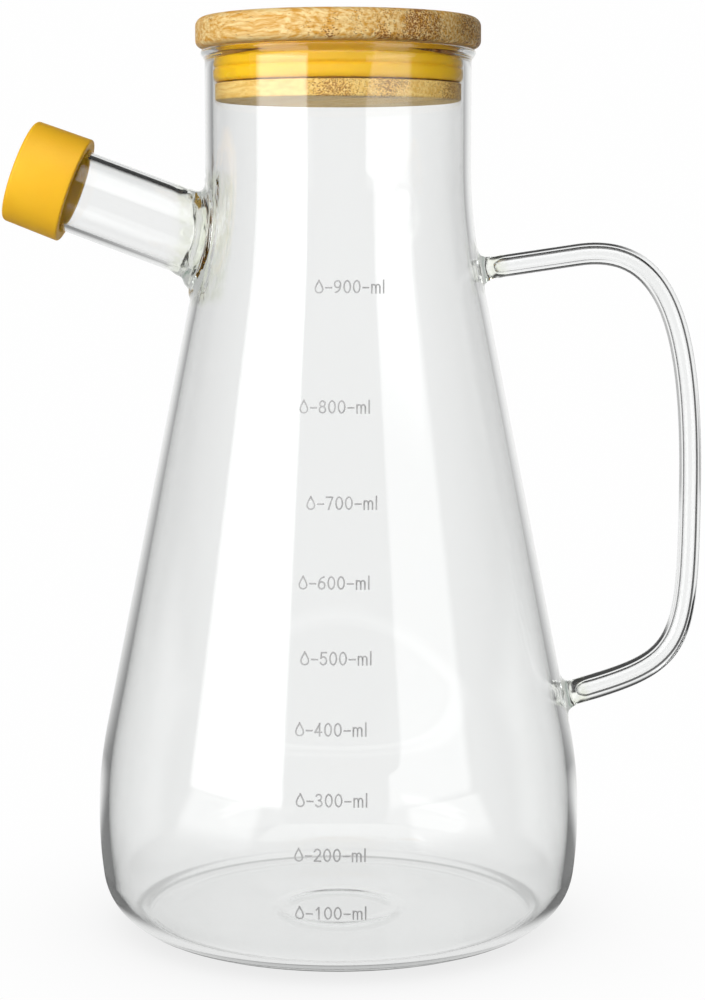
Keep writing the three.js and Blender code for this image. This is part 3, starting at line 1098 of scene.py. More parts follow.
@dataclass
class SpoutCap:
    """Silicone cup that slips over the spout's mouth."""

    glass: FusedGlass = field(default_factory=FusedGlass)
    length: float = 13.4
    wall: float = 2.3
    end: float = 2.2
    dome: float = 0.2
    end_round: float = 0.9
    rim_round: float = 0.45
    taper: float = 0.25
    face_points: int = 10
    sides: int = 128

    def build(self) -> bpy.types.Object:
        """The cup: a slightly domed end, a faint taper towards it, and a rounded rim.

        Returns:
            The new piece.
        """
        bore = self.glass.spout_radius + self.glass.clearance
        outside = bore + self.wall
        in_end = self.glass.spout_length + self.glass.clearance
        out_end = in_end + self.end
        rim, small = out_end - self.length + self.rim_round, self.rim_round
        inner = outside - self.taper - self.end_round
        shoulder = out_end - self.dome - self.end_round
        return turned("silicone_cap", np.concatenate([
            end_face(bore, in_end, 0.0, self.face_points),
            arc((bore + small, rim), small, HALF, HALF + QUARTER, 5),
            arc((outside - small, rim), small, HALF + QUARTER, 2 * HALF, 5),
            arc((inner, shoulder), self.end_round, 0, QUARTER, 8),
            end_face(inner, out_end, self.dome, self.face_points)[-2::-1],
        ]), self.sides, place=self.glass.spout_place)


# Printed scale


def bow(x: float, y: float, width: float, height: float, start: float, end: float) -> np.ndarray:
    """A pen stroke along an ellipse: the middle plus half sizes times (cos, sin), angles in degrees."""
    angle = np.radians(np.linspace(start, end, STROKE_POINTS))
    return np.stack([x + width * np.cos(angle), y + height * np.sin(angle)], axis=-1)


def bar(x0: float, y0: float, x1: float, y1: float) -> np.ndarray:
    """A straight pen stroke between two points."""
    share = np.linspace(0, 1, STROKE_POINTS)[:, None]
    return np.array([x0, y0]) + share * np.array([x1 - x0, y1 - y0])


def drop() -> np.ndarray:
    """Outline of a drop: height (1 + cos t) / 2, width sin t times a power of sin(t / 2)."""
    turn = np.linspace(0, 2 * np.pi, STROKE_POINTS)
    width = 0.44 * np.sin(turn) * np.sin(turn / 2) ** 1.5
    return np.stack([0.32 + width, 0.5 + 0.5 * np.cos(turn)], axis=-1)


@dataclass
class ScalePrint:
    """Millilitre scale printed on the front of the glass, drawn with a pen of constant width."""

    section: FlaskSection = field(default_factory=FlaskSection)
    letter_height: float = 2.58
    digit_width: float = 0.58
    pen: float = 0.33
    proud: float = 0.03
    sunk: float = 0.02
    gap: float = 0.2

    # volume in millilitres, height on the flask, sideways shift of the print
    marks: tuple[tuple[int, float, float], ...] = (
        (900, 145.1, 3.8), (800, 120.2, 0.8), (700, 100.4, 2.45), (600, 84.1, 0.95),
        (500, 68.7, 1.45), (400, 54.3, 0.5), (300, 40.0, 0.75), (200, 28.7, 0.45), (100, 16.3, 0.6),
    )

    def glyphs(self) -> dict[str, tuple[float, list[np.ndarray]]]:
        """Width and strokes of each sign, in a box one unit high.

        Returns:
            Digits, letters, the dash, and o for the drop.
        """
        digits = {
            "0": [bow(0.28, 0.5, 0.26, 0.48, 90, 450)],
            "1": [bar(0.12, 0.78, 0.32, 0.97), bar(0.32, 0.97, 0.32, 0.02)],
            "2": [bow(0.27, 0.71, 0.24, 0.27, 165, -38), bar(0.46, 0.54, 0.04, 0.02),
                  bar(0.04, 0.02, 0.53, 0.02)],
            "3": [bow(0.25, 0.745, 0.22, 0.235, 150, -90), bow(0.25, 0.265, 0.26, 0.245, 90, -150)],
            "4": [bar(0.38, 0.02, 0.38, 0.97), bar(0.38, 0.97, 0.02, 0.3), bar(0.02, 0.3, 0.54, 0.3)],
            "5": [bar(0.5, 0.97, 0.12, 0.97), bar(0.12, 0.97, 0.08, 0.53),
                  bow(0.26, 0.33, 0.26, 0.31, 135, -150)],
            "6": [bow(0.28, 0.3, 0.25, 0.28, 90, 450), bow(0.5, 0.32, 0.47, 0.64, 95, 180)],
            "7": [bar(0.03, 0.97, 0.52, 0.97), bar(0.52, 0.97, 0.2, 0.02)],
            "8": [bow(0.28, 0.745, 0.21, 0.225, 90, 450), bow(0.28, 0.27, 0.25, 0.25, 90, 450)],
            "9": [bow(0.28, 0.7, 0.25, 0.28, 90, 450), bow(0.06, 0.68, 0.47, 0.64, 0, -85)],
        }
        return {
            **{sign: (self.digit_width, strokes) for sign, strokes in digits.items()},
            "m": (0.8, [bar(0.05, 0, 0.05, 0.66), bow(0.22, 0.44, 0.17, 0.22, 180, 0),
                        bar(0.39, 0.44, 0.39, 0), bow(0.56, 0.44, 0.17, 0.22, 180, 0),
                        bar(0.73, 0.44, 0.73, 0)]),
            "l": (0.12, [bar(0.05, 0, 0.05, 1)]),
            "-": (0.5, [bar(0.02, 0.42, 0.48, 0.42)]),
            "o": (0.66, [drop()]),
        }

    def mark(self, volume: int) -> np.ndarray:
        """Strokes of one mark, drop, dash, number, dash and unit, centred sideways.

        Args:
            volume: that it reads, in millilitres.

        Returns:
            Strokes in millimetres, as an array of strokes by points by (sideways, up).
        """
        glyphs = self.glyphs()
        signs = [glyphs[sign] for sign in f"o-{volume}-ml"]
        widths = np.array([width + self.gap for width, _ in signs])
        starts = np.concatenate([[0], np.cumsum(widths)[:-1]])
        strokes = [stroke + [start, 0] for start, (_, parts) in zip(starts, signs) for stroke in parts]
        return (np.stack(strokes) - [(widths.sum() - self.gap) / 2, 0.5]) * self.letter_height

    def ribbons(self, strokes: np.ndarray, height: float, shift: float) -> np.ndarray:
        """Closed ribbons along strokes, wrapped on the glass: four corners round each point.

        A corner lies half a pen's width to the left or right of the stroke. Sideways it runs round
        the flask by its length over the radius, and it stands proud of the glass or sinks into it.

        Args:
            strokes: as mark gives them.
            height: of the mark's middle on the flask.
            shift: of the mark's middle, sideways.

        Returns:
            Points as strokes by points by four corners by 3.
        """
        run = np.gradient(strokes, axis=1)
        run /= np.linalg.norm(run, axis=-1, keepdims=True)
        ends = np.zeros(STROKE_POINTS)
        ends[[0, -1]] = [-1, 1]
        middle = strokes + ends[None, :, None] * run * self.pen / 2
        left = np.stack([-run[..., 1], run[..., 0]], axis=-1)
        side = np.array([1.0, -1.0, -1.0, 1.0]) * self.pen / 2
        level = np.array([self.proud, self.proud, -self.sunk, -self.sunk])
        flat = middle[..., None, :] + side[:, None] * left[..., None, :]
        z = height + flat[..., 1]
        radius = self.section.outside(z) + level
        angle = -np.pi / 2 + (shift + flat[..., 0]) / radius
        return np.stack([radius * np.cos(angle), radius * np.sin(angle), z], axis=-1)

    def build(self) -> bpy.types.Object:
        """All marks as one piece of thin ribbons, closed at both ends.

        Returns:
            The new piece.
        """
        marks = [self.ribbons(self.mark(volume), z, shift) for volume, z, shift in self.marks]
        skin = Patchwork()
        numbers = skin.add(np.concatenate(marks))
        skin.weave(numbers)
        skin.close_square(numbers)
        return skin.make("scale_print", CRISP)


# Node trees


class NodeBoard:
    """A node tree being wired, with short ways to add nodes and to feed their sockets."""

    def __init__(self, tree: bpy.types.NodeTree) -> None:
        """Takes a tree and empties it."""
        self.tree = tree
        tree.nodes.clear()

    def add(self, kind: str, feeds: dict | None = None, **settings: object) -> bpy.types.Node:
        """Adds a node.

        Args:
            kind: its type, without the words ShaderNode.
            feeds: socket name or number to the value or the output socket that feeds it.
            settings: properties of the node.

        Returns:
            The new node.
        """
        node = self.tree.nodes.new("ShaderNode" + kind)
        for key, value in settings.items():
            setattr(node, key, value)
        for key, value in (feeds or {}).items():
            self.feed(node.inputs[key], value)
        return node

    def feed(self, socket: bpy.types.NodeSocket, value: object) -> None:
        """Links an output socket to a socket, or sets the socket's own value.

        Args:
            socket: that is fed.
            value: an output socket, a colour or a number.
        """
        if isinstance(value, bpy.types.NodeSocket):
            self.tree.links.new(value, socket)
        elif isinstance(value, tuple) and socket.type == "RGBA":
            socket.default_value = (*value, 1.0)
        else:
            socket.default_value = value

    def math(self, operation: str, *values: object) -> bpy.types.NodeSocket:
        """A Math node's result."""
        return self.add("Math", dict(enumerate(values)), operation=operation).outputs[0]

    def product(self, first: object, *others: object) -> object:
        """All the values multiplied."""
        for other in others:
            first = self.math("MULTIPLY", first, other)
        return first

    def above(self, value: object, limit: float) -> bpy.types.NodeSocket:
        """1 where a value is above a limit, and 0 elsewhere."""
        return self.math("GREATER_THAN", value, limit)

    def highest(self, first: object, second: object) -> bpy.types.NodeSocket:
        """The higher one of two values."""
        return self.math("MAXIMUM", first, second)

    def mix(self, share: object, first: object, second: object, blend: str = "MIX") -> bpy.types.NodeSocket:
        """A colour mixed from two by a share."""
        feeds = {0: share, 6: first, 7: second}
        return self.add("Mix", feeds, data_type="RGBA", blend_type=blend).outputs[2]

    def between(self, share: object, first: object, second: object) -> bpy.types.NodeSocket:
        """A value mixed from two by a share."""
        feeds = {0: share, 2: first, 3: second}
        return self.add("Mix", feeds, data_type="FLOAT").outputs[0]

    def ranged(self, value: object, ramp: Ramp) -> bpy.types.NodeSocket:
        """A value carried over a ramp with eased ends."""
        feeds = dict(enumerate((value, *ramp)))
        return self.add("MapRange", feeds, interpolation_type="SMOOTHSTEP").outputs[0]

    def turned(self, angle: object, ramp: Ramp) -> bpy.types.NodeSocket:
        """An angle carried over a ramp whose start and end are degrees."""
        return self.ranged(angle, (math.radians(ramp[0]), math.radians(ramp[1]), *ramp[2:]))

    def place(self) -> bpy.types.NodeSocket:
        """Object coordinates."""
        return self.add("TexCoord").outputs["Object"]

    def path(self, fact: str) -> bpy.types.NodeSocket:
        """A fact about the ray that is looking, from the Light Path node."""
        return self.add("LightPath").outputs[fact]

    def split(self, vector: object) -> bpy.types.NodeOutputs:
        """The three parts of a vector."""
        return self.add("SeparateXYZ", {0: vector}).outputs

    def grey(self, value: object) -> bpy.types.NodeSocket:
        """A value as a grey colour."""
        return self.add("CombineXYZ", {0: value, 1: value, 2: value}).outputs[0]

    def vector(self, operation: str, feeds: dict) -> bpy.types.NodeSocket:
        """A Vector Math node's vector."""
        return self.add("VectorMath", feeds, operation=operation).outputs[0]

    def noise(self, place: object, scale: object, detail: float, roughness: float = 0.5) -> bpy.types.Node:
        """A Noise Texture node."""
        feeds = {"Vector": place, "Scale": scale, "Detail": detail, "Roughness": roughness}
        return self.add("TexNoise", feeds)

    def bump(self, shader: bpy.types.Node, height: object, strength: float, distance: float) -> None:
        """Feeds a shader's normal from a Bump node."""
        bump = self.add("Bump", {"Height": height, "Strength": strength, "Distance": distance})
        self.feed(shader.inputs["Normal"], bump.outputs[0])


def new_group(
    name: str, inputs: dict[str, float], outputs: tuple[str, ...]
) -> tuple[NodeBoard, bpy.types.NodeOutputs, bpy.types.NodeInputs]:
    """Starts a shader node group of plain values.

    Args:
        name: of the group.
        inputs: names and usual values of its inputs.
        outputs: names of its outputs.

    Returns:
        The board to wire it on, and the group's inputs and outputs by name.
    """
    tree = bpy.data.node_groups.new(name, "ShaderNodeTree")
    board = NodeBoard(tree)
    for key, value in inputs.items():
        socket = tree.interface.new_socket(name=key, in_out="INPUT", socket_type="NodeSocketFloat")
        socket.default_value = value
    for key in outputs:
        tree.interface.new_socket(name=key, in_out="OUTPUT", socket_type="NodeSocketFloat")
    start = tree.nodes.new("NodeGroupInput")
    end = tree.nodes.new("NodeGroupOutput")
    return board, start.outputs, end.inputs


def mottle_group() -> bpy.types.NodeTree:
    """Cloudy tone and fine pores of a moulded or printed surface, from noise in Object coordinates.

    Returns:
        The node group.
    """
    board, given, out = new_group("moulded_mottle", {"Cloud": 60.0, "Pore": 1500.0}, ("Tone", "Height"))
    place = board.place()
    cloud = board.noise(place, given["Cloud"], 3.0).outputs[0]
    board.feed(out["Tone"], board.ranged(cloud, (0.3, 0.7, 0.0, 1.0)))
    board.feed(out["Height"], board.noise(place, given["Pore"], 2.0).outputs[0])
    return board.tree


def fibre_group() -> bpy.types.NodeTree:
    """Bamboo: fibre bundles that run one way, seen as dots on their ends and as streaks along them.

    Object coordinates are turned about Z so that X runs along the fibres. Cells drawn out along X
    give the bundles, noise drawn out along X the pale and dark streaks, and steps across the
    fibres the strips that the board is glued from. Dots crowd where the fibres end at the edge.

    Returns:
        The node group.
    """
    sway, draw, strip_shift = 0.001, (0.06, 1.0, 1.0), 0.0065
    inputs = {"Turn": 0.0, "Bundle": 3900.0, "Strip": 0.019}
    board, given, out = new_group("bamboo_fibre", inputs, ("Dots", "Streaks", "Strips", "Fuzz"))
    place = board.place()
    feeds = {"Vector": place, "Angle": given["Turn"]}
    turned_place = board.add("VectorRotate", feeds, rotation_type="Z_AXIS").outputs[0]
    way = board.split(turned_place)
    wobble = board.noise(turned_place, 300.0, 1.0).outputs["Color"]
    offset = board.vector("SUBTRACT", {0: wobble, 1: (0.5, 0.5, 0.5)})
    offset = board.vector("SCALE", {0: offset, "Scale": sway})
    moved = board.vector("ADD", {0: turned_place, 1: offset})
    drawn = board.vector("MULTIPLY", {0: moved, 1: draw})
    cells = board.add("TexVoronoi", {"Vector": drawn, "Scale": given["Bundle"]}).outputs
    crowd = board.ranged(board.noise(turned_place, 75.0, 2.0).outputs[0], (0.4, 0.62, 0.3, 0.8))
    cut_ends = board.ranged(board.math("ABSOLUTE", way[0]), (0.008, 0.026, 0.3, 1.35))
    size = board.product(crowd, cut_ends, board.split(cells["Color"])[0])
    within = board.math("SUBTRACT", cells["Distance"], size)
    board.feed(out["Dots"], board.ranged(within, (-0.08, 0.08, 1.0, 0.0)))
    streaks = board.noise(drawn, 1500.0, 3.0, 0.6).outputs[0]
    board.feed(out["Streaks"], board.ranged(streaks, (0.32, 0.68, 0.0, 1.0)))
    across = board.math("DIVIDE", board.math("ADD", way[1], strip_shift), given["Strip"])
    strip = board.math("FLOOR", across)
    tone = board.add("TexWhiteNoise", {"W": strip}, noise_dimensions="1D").outputs[0]
    board.feed(out["Strips"], tone)
    board.feed(out["Fuzz"], board.noise(place, 1300.0, 3.0).outputs[0])
    return board.tree


def new_material(name: str) -> tuple[bpy.types.Material, NodeBoard, bpy.types.Node, bpy.types.Node]:
    """Starts a material.

    Args:
        name: of the material.

    Returns:
        The material, its board, its Principled BSDF and its output node.
    """
    material = bpy.data.materials.new(name)
    material.use_nodes = True
    board = NodeBoard(material.node_tree)
    shader = board.add("BsdfPrincipled")
    end = board.add("OutputMaterial", {"Surface": shader.outputs[0]})
    return material, board, shader, end


# Finishes


@dataclass(frozen=True)
class GlassFinish:
    """Clear borosilicate, crinkled and greenish where it was melted again."""

    name: str = "clear_glass"
    clear: Triple = (0.985, 0.988, 0.986)
    remelted: Triple = (0.87, 0.89, 0.80)
    streak_scale: float = 420.0
    streak: Ramp = (0.35, 0.65, 0.4, 1.0)
    swell_scale: float = 22.0
    crinkle: float = 0.08
    swell: float = 0.03
    index: float = 1.47
    absorbed: Triple = (0.72, 0.8, 0.76)
    density: float = 14.0
    most_reflections: float = 2.5

    def material(self) -> bpy.types.Material:
        """Glass with a green tint and folds on the remelt attribute, and absorption inside.

        A ray that was reflected often goes straight out, so that thick glass isn't black.

        Returns:
            The material.
        """
        material, board, shader, end = new_material(self.name)
        melted = board.add("Attribute", attribute_name="remelt").outputs["Fac"]
        place = board.place()
        streaks = board.noise(place, self.streak_scale, 1.0).outputs[0]
        share = board.product(melted, board.ranged(streaks, self.streak))
        board.feed(shader.inputs["Base Color"], board.mix(share, self.clear, self.remelted))
        folds = board.product(streaks, melted, self.crinkle)
        slow = board.noise(place, self.swell_scale, 1.0).outputs[0]
        board.bump(shader, board.math("ADD", folds, board.product(slow, self.swell)), 1.0, MM)
        shader.inputs["Roughness"].default_value = 0.0
        shader.inputs["IOR"].default_value = self.index
        shader.inputs["Transmission Weight"].default_value = 1.0
        trapped = board.above(board.path("Glossy Depth"), self.most_reflections)
        escape = board.add("BsdfTransparent")
        both = board.add("MixShader", {0: trapped, 1: shader.outputs[0], 2: escape.outputs[0]})
        board.feed(end.inputs["Surface"], both.outputs[0])
        inside = board.add("VolumeAbsorption", {"Color": self.absorbed, "Density": self.density})
        board.feed(end.inputs["Volume"], inside.outputs[0])
        return material


@dataclass(frozen=True)
class SiliconeFinish:
    """Moulded silicone: cloudy tone, fine pores, a soft gloss."""

    name: str
    light: Triple
    dark: Triple
    roughness: float
    pore_depth: float
    pore_size: float = 0.0002

    def material(self, mottle: bpy.types.NodeTree) -> bpy.types.Material:
        """Tone between two colours and a fine bump, both from the mottle group.

        Args:
            mottle: the group.

        Returns:
            The material.
        """
        material, board, shader, _ = new_material(self.name)
        skin = board.add("Group", node_tree=mottle).outputs
        board.feed(shader.inputs["Base Color"], board.mix(skin["Tone"], self.dark, self.light))
        roughness = (0.0, 1.0, self.roughness + 0.06, self.roughness - 0.04)
        board.feed(shader.inputs["Roughness"], board.ranged(skin["Tone"], roughness))
        board.bump(shader, skin["Height"], self.pore_depth, self.pore_size)
        shader.inputs["Specular IOR Level"].default_value = 0.3
        shader.inputs["Subsurface Weight"].default_value = 0.12
        shader.inputs["Subsurface Radius"].default_value = (1.0, 0.55, 0.15)
        shader.inputs["Subsurface Scale"].default_value = 0.0015
        return material


@dataclass(frozen=True)
class BambooFinish:
    """Sanded and oiled bamboo board."""

    name: str
    pale: Triple
    warm: Triple
    dot: Triple
    turn: float
    roughness: float = 0.52
    strip_tone: Ramp = (0.0, 1.0, 0.88, 1.06)
    dot_height: float = 0.6
    relief: float = 0.35
    relief_size: float = 0.0003

    def material(self, fibre: bpy.types.NodeTree) -> bpy.types.Material:
        """Warm and pale streaks, strips of the board, dark bundle ends and a fibrous bump.

        Args:
            fibre: the group.

        Returns:
            The material.
        """
        material, board, shader, _ = new_material(self.name)
        grain = board.add("Group", {"Turn": self.turn}, node_tree=fibre).outputs
        streaks = board.mix(grain["Streaks"], self.warm, self.pale)
        strips = board.grey(board.ranged(grain["Strips"], self.strip_tone))
        toned = board.mix(1.0, streaks, strips, "MULTIPLY")
        board.feed(shader.inputs["Base Color"], board.mix(grain["Dots"], toned, self.dot))
        roughness = (0.0, 1.0, self.roughness + 0.08, self.roughness - 0.06)
        board.feed(shader.inputs["Roughness"], board.ranged(grain["Streaks"], roughness))
        height = board.math("ADD", board.product(grain["Dots"], self.dot_height), grain["Fuzz"])
        board.bump(shader, height, self.relief, self.relief_size)
        shader.inputs["Specular IOR Level"].default_value = 0.3
        return material


@dataclass(frozen=True)
class InkFinish:
    """Fired grey ink of the scale."""

    name: str = "scale_ink"
    full: Triple = (0.36, 0.36, 0.36)
    thin: Triple = (0.46, 0.46, 0.46)
    cloud: float = 500.0

    def material(self, mottle: bpy.types.NodeTree) -> bpy.types.Material:
        """Grey that thins in places, a little rough.

        Args:
            mottle: the group.

        Returns:
            The material.
        """
        material, board, shader, _ = new_material(self.name)
        skin = board.add("Group", {"Cloud": self.cloud}, node_tree=mottle).outputs
        board.feed(shader.inputs["Base Color"], board.mix(skin["Tone"], self.full, self.thin))
        shader.inputs["Roughness"].default_value = 0.5
        return material


# Studio


class Lights(Enum):
    """What a lamp is for."""

    GLASS = "reflections in the glass"
    MATT = "light on the matt pieces"


@dataclass(frozen=True)
class Softbox:
    """A lit panel: where it stands, seen from the object, and how bright it is. Angles in degrees."""

    name: str
    lights: Lights
    azimuth: float
    distance: float
    width: float
    height: float
    middle: float
    radiance: float
    feather: float
    tilt: float = 0.0
    cut: float = 0.0
    cut_heights: Pair = (0.25, 0.3)
    deep: float = 1.0
    deep_from: Pair = (2.5, 3.5)

    def build(self) -> None:
        """Adds an area lamp that faces the object, out of the camera's sight, dim towards its edges.

        From a height on, its edge beside the camera is cut back. Rays that met the glass more than
        twice see it dimmer.
        """
        lamp = bpy.data.lights.new(self.name, "AREA")
        lamp.use_nodes = True
        board = NodeBoard(lamp.node_tree)
        spot = board.split(board.add("NewGeometry").outputs["Parametric"])
        right, up = board.product(spot[0], self.width), board.product(spot[1], self.height)
        left = board.math("SUBTRACT", self.width, right)
        down = board.math("SUBTRACT", self.height, up)
        inner, outer = (right, left) if self.azimuth > 0 else (left, right)
        kept = board.math("SUBTRACT", inner, board.ranged(up, (*self.cut_heights, 0.0, self.cut)))
        strength = board.ranged(board.path("Transmission Depth"), (*self.deep_from, 1.0, self.deep))
        edge = (0.0, self.feather, 0.0, 1.0)
        fades = [board.ranged(side, edge) for side in (kept, outer, up, down)]
        glow = board.add("Emission", {"Strength": board.product(strength, *fades)})
        board.add("OutputLight", {"Surface": glow.outputs[0]})
        lamp.shape = "RECTANGLE"
        lamp.size, lamp.size_y = self.width, self.height
        lamp.energy = self.radiance * math.pi * self.width * self.height
        panel = bpy.data.objects.new(self.name, lamp)
        turn = math.radians(self.azimuth)
        panel.location = (self.distance * math.sin(turn), -self.distance * math.cos(turn), self.middle)
        panel.rotation_euler = (QUARTER - math.radians(self.tilt), 0, turn)
        panel.visible_camera = False
        panel.visible_diffuse = self.lights is Lights.MATT
        panel.visible_glossy = self.lights is Lights.GLASS
        panel.visible_transmission = self.lights is Lights.GLASS
        bpy.context.scene.collection.objects.link(panel)


@dataclass
class Studio:
    """Camera at the photograph's angle, pale floor, backdrop and soft lamps.

    The ramps give brightness. Angles are degrees from the way straight back from the camera, reach
    is a distance on the floor from the object's axis, and a ray's lean is a part of its direction.
    """

    azimuth: float = math.radians(2.0)
    distance: float = 0.5387
    height: float = 0.15965
    pitch: float = math.radians(6.718)
    sideways: float = 0.003161
    lens: float = 86.52
    floor_size: float = 6.0
    floor_level: float = -0.00006
    floor_grey: Triple = (0.68, 0.68, 0.68)
    shade_reach: float = 0.07
    shade: Ramp = (0.0, 1.0, 0.82, 0.995)
    white: float = 0.995
    ambient: float = 0.27
    ambient_in_glass: Ramp = (0.2, 1.0, 0.25, 4.6)
    key_way: Triple = (-0.492, -0.853, 0.174)
    scatter: float = 0.6
    some: float = 0.5
    over_two: float = 2.5

    # walls by angle, and the ceiling by how far a ray leans up
    back_wall: Ramp = (14, 46, 1.0, 0.15)
    back_fade: Ramp = (48, 62, 1.0, 0.4)
    front_wall: Ramp = (85, 115, 0.0, 0.25)
    ceiling: Ramp = (0.3, 0.55, 1.0, 0.06)
    hung_cloth: Ramp = (0.38, 0.46, 1.0, 0.004)

    # far sides by a ray's lean to the right, for rays that passed one piece of glass
    left_side: Ramp = (-0.48, -0.34, 0.02, 1.0)
    far_left_side: Ramp = (-0.96, -0.86, 0.8, 0.02)
    right_side: Ramp = (0.42, 0.55, 1.0, 0.55)
    sides_from: Ramp = (0.75, 1.0, 0.0, 1.0)

    # floor by reach: under the handle and the flask's heel, seen through glass
    handle_start: Ramp = (0.06, 0.07, 1.0, 0.06)
    handle_end: Ramp = (0.17, 0.26, 0.06, 1.0)
    handle_right: Ramp = (-0.02, 0.05, 0.0, 1.0)
    heel_start: Ramp = (0.0447, 0.0467, 1.0, 0.68)
    heel_end: Ramp = (0.0474, 0.0508, 0.68, 1.0)

    # floor by reach and by angle, seen in a reflection
    contact: Ramp = (0.0442, 0.0454, 0.2, 1.0)
    close_by: Ramp = (0.048, 0.057, 1.0, 0.0)
    near_by: Ramp = (0.12, 0.3, 1.0, 0.0)
    beside: Ramp = (36, 56, 1.0, 0.12)
    lit_far: Ramp = (0.12, 0.3, 0.0, 1.6)
    lit_start: Ramp = (106, 112, 0.0, 1.0)
    lit_end: Ramp = (143, 149, 1.0, 0.0)

    softboxes: tuple[Softbox, ...] = (
        Softbox("left_softbox", Lights.GLASS, -47.5, 1.5, 1.37, 0.98, 0.49, 3.7, 0.08, deep=0.2),
        Softbox(
            "right_softbox", Lights.GLASS, 46.3, 1.5, 1.2, 0.98, 0.49, 1.5, 0.08, cut=0.19, deep=0.25),
        Softbox(
            "top_softbox", Lights.GLASS, 0.0, 0.545, 1.6, 1.06, 0.99, 2.0, 0.12, tilt=57.0, deep=0.5),
        Softbox("key_lamp", Lights.MATT, -30.0, 0.72, 0.5, 0.5, 0.46, 7.7, 0.02, tilt=20.0),
    )

    def build(self) -> None:
        """Builds all of it."""
        bpy.context.scene.view_settings.view_transform = "Standard"
        bpy.context.scene.cycles.use_denoising = True
        self._camera()
        self._floor()
        self._world()
        for softbox in self.softboxes:
            softbox.build()

    def _camera(self) -> None:
        """Places the camera: out from the axis, a little sideways, and tilted down."""
        camera = bpy.data.cameras.new("camera")
        camera.lens = self.lens
        eye = bpy.data.objects.new("camera", camera)
        cos, sin = math.cos(self.azimuth), math.sin(self.azimuth)
        eye.location = (
            self.distance * sin + self.sideways * cos,
            -self.distance * cos + self.sideways * sin,
            self.height,
        )
        eye.rotation_euler = (QUARTER - self.pitch, 0, self.azimuth)
        bpy.context.scene.collection.objects.link(eye)
        bpy.context.scene.camera = eye

    def _seen(self, board: NodeBoard) -> bpy.types.NodeSocket:
        """Whether a surface or the world is looked at directly, in a reflection or through glass."""
        seen = board.highest(board.path("Is Camera Ray"), board.path("Is Glossy Ray"))
        return board.highest(seen, board.path("Is Transmission Ray"))

    def _bounced(self, board: NodeBoard) -> bpy.types.NodeSocket:
        """Whether a ray was reflected by something glossy on its way."""
        return board.above(board.path("Glossy Depth"), self.some)

    def _scattered(self, board: NodeBoard, seldom: object) -> bpy.types.NodeSocket:
        """What a ray sees that was reflected once or twice, or an even grey for more reflections."""
        often = board.above(board.path("Glossy Depth"), self.over_two)
        return board.between(often, seldom, self.scatter)

    def _once(self, board: NodeBoard) -> bpy.types.NodeSocket:
        """Whether a ray passed one piece of glass on its way, such as a wall or the handle."""
        met = board.path("Transmission Depth")
        return board.product(board.above(met, self.some), board.math("LESS_THAN", met, self.over_two))

    def _turn(self, board: NodeBoard, x: object, y: object) -> bpy.types.NodeSocket:
        """Angle between a direction and the way straight back from the camera, seen from above."""
        return board.math("ABSOLUTE", board.math("ARCTAN2", x, y))

    def _walls(self, board: NodeBoard, turn: object) -> bpy.types.NodeSocket:
        """Brightness of the studio's walls by angle, as the glass reflects them.

        White behind the object, dark to both sides of that, and dim in front.
        """
        back = board.product(board.turned(turn, self.back_wall), board.turned(turn, self.back_fade))
        return board.highest(back, board.turned(turn, self.front_wall))

    def _round_edge(self, board: NodeBoard, lean: object, reach: object) -> bpy.types.NodeSocket:
        """Brightness far off to the sides for rays that passed one piece of glass, such as a rod's edge.

        Args:
            board: nodes that it is added to.
            lean: how far the ray leans to the right.
            reach: where it lands.

        Returns:
            Dark on the left and half dark on the right, and 1 for other rays and near the object.
        """
        left = board.highest(board.ranged(lean, self.left_side), board.ranged(lean, self.far_left_side))
        sides = board.product(left, board.ranged(lean, self.right_side))
        share = board.product(self._once(board), board.ranged(reach, self.sides_from))
        return board.between(share, 1.0, sides)

    def _under_handle(self, board: NodeBoard, right: object, reach: object) -> bpy.types.NodeSocket:
        """Brightness of the floor round the handle for rays that its edge bends down: dark.

        Args:
            board: nodes that it is added to.
            right: how far to the right a spot lies.
            reach: of the spot.

        Returns:
            Dark in a ring on the right, and 1 elsewhere and for other rays.
        """
        start, end = board.ranged(reach, self.handle_start), board.ranged(reach, self.handle_end)
        share = board.product(self._once(board), board.ranged(right, self.handle_right))
        return board.between(share, 1.0, board.highest(start, end))

    def _heel(self, board: NodeBoard, reach: object) -> bpy.types.NodeSocket:
        """Brightness of the floor for rays that passed two walls: a shaded ring under the heel."""
        ring = board.highest(board.ranged(reach, self.heel_start), board.ranged(reach, self.heel_end))
        return board.between(board.above(board.path("Transmission Depth"), self.over_two), 1.0, ring)

    def _reflected_floor(self, board: NodeBoard, turn: object, reach: object) -> bpy.types.NodeSocket:
        """Brightness of the floor as the glass reflects it.

        Args:
            board: nodes that it is added to.
            turn: angle of a spot.
            reach: of the spot.

        Returns:
            Dark in a line at the foot, bright close to it and behind it, lit by the lamps at the
            left and right in front, and like the walls far off.
        """
        near = board.product(board.ranged(reach, self.near_by), board.turned(turn, self.beside))
        behind = board.highest(near, self._walls(board, turn))
        front = board.product(board.turned(turn, self.lit_start), board.turned(turn, self.lit_end))
        lit = board.product(front, board.ranged(reach, self.lit_far))
        bright = board.highest(board.highest(board.ranged(reach, self.close_by), lit), behind)
        return board.product(board.ranged(reach, self.contact), bright)

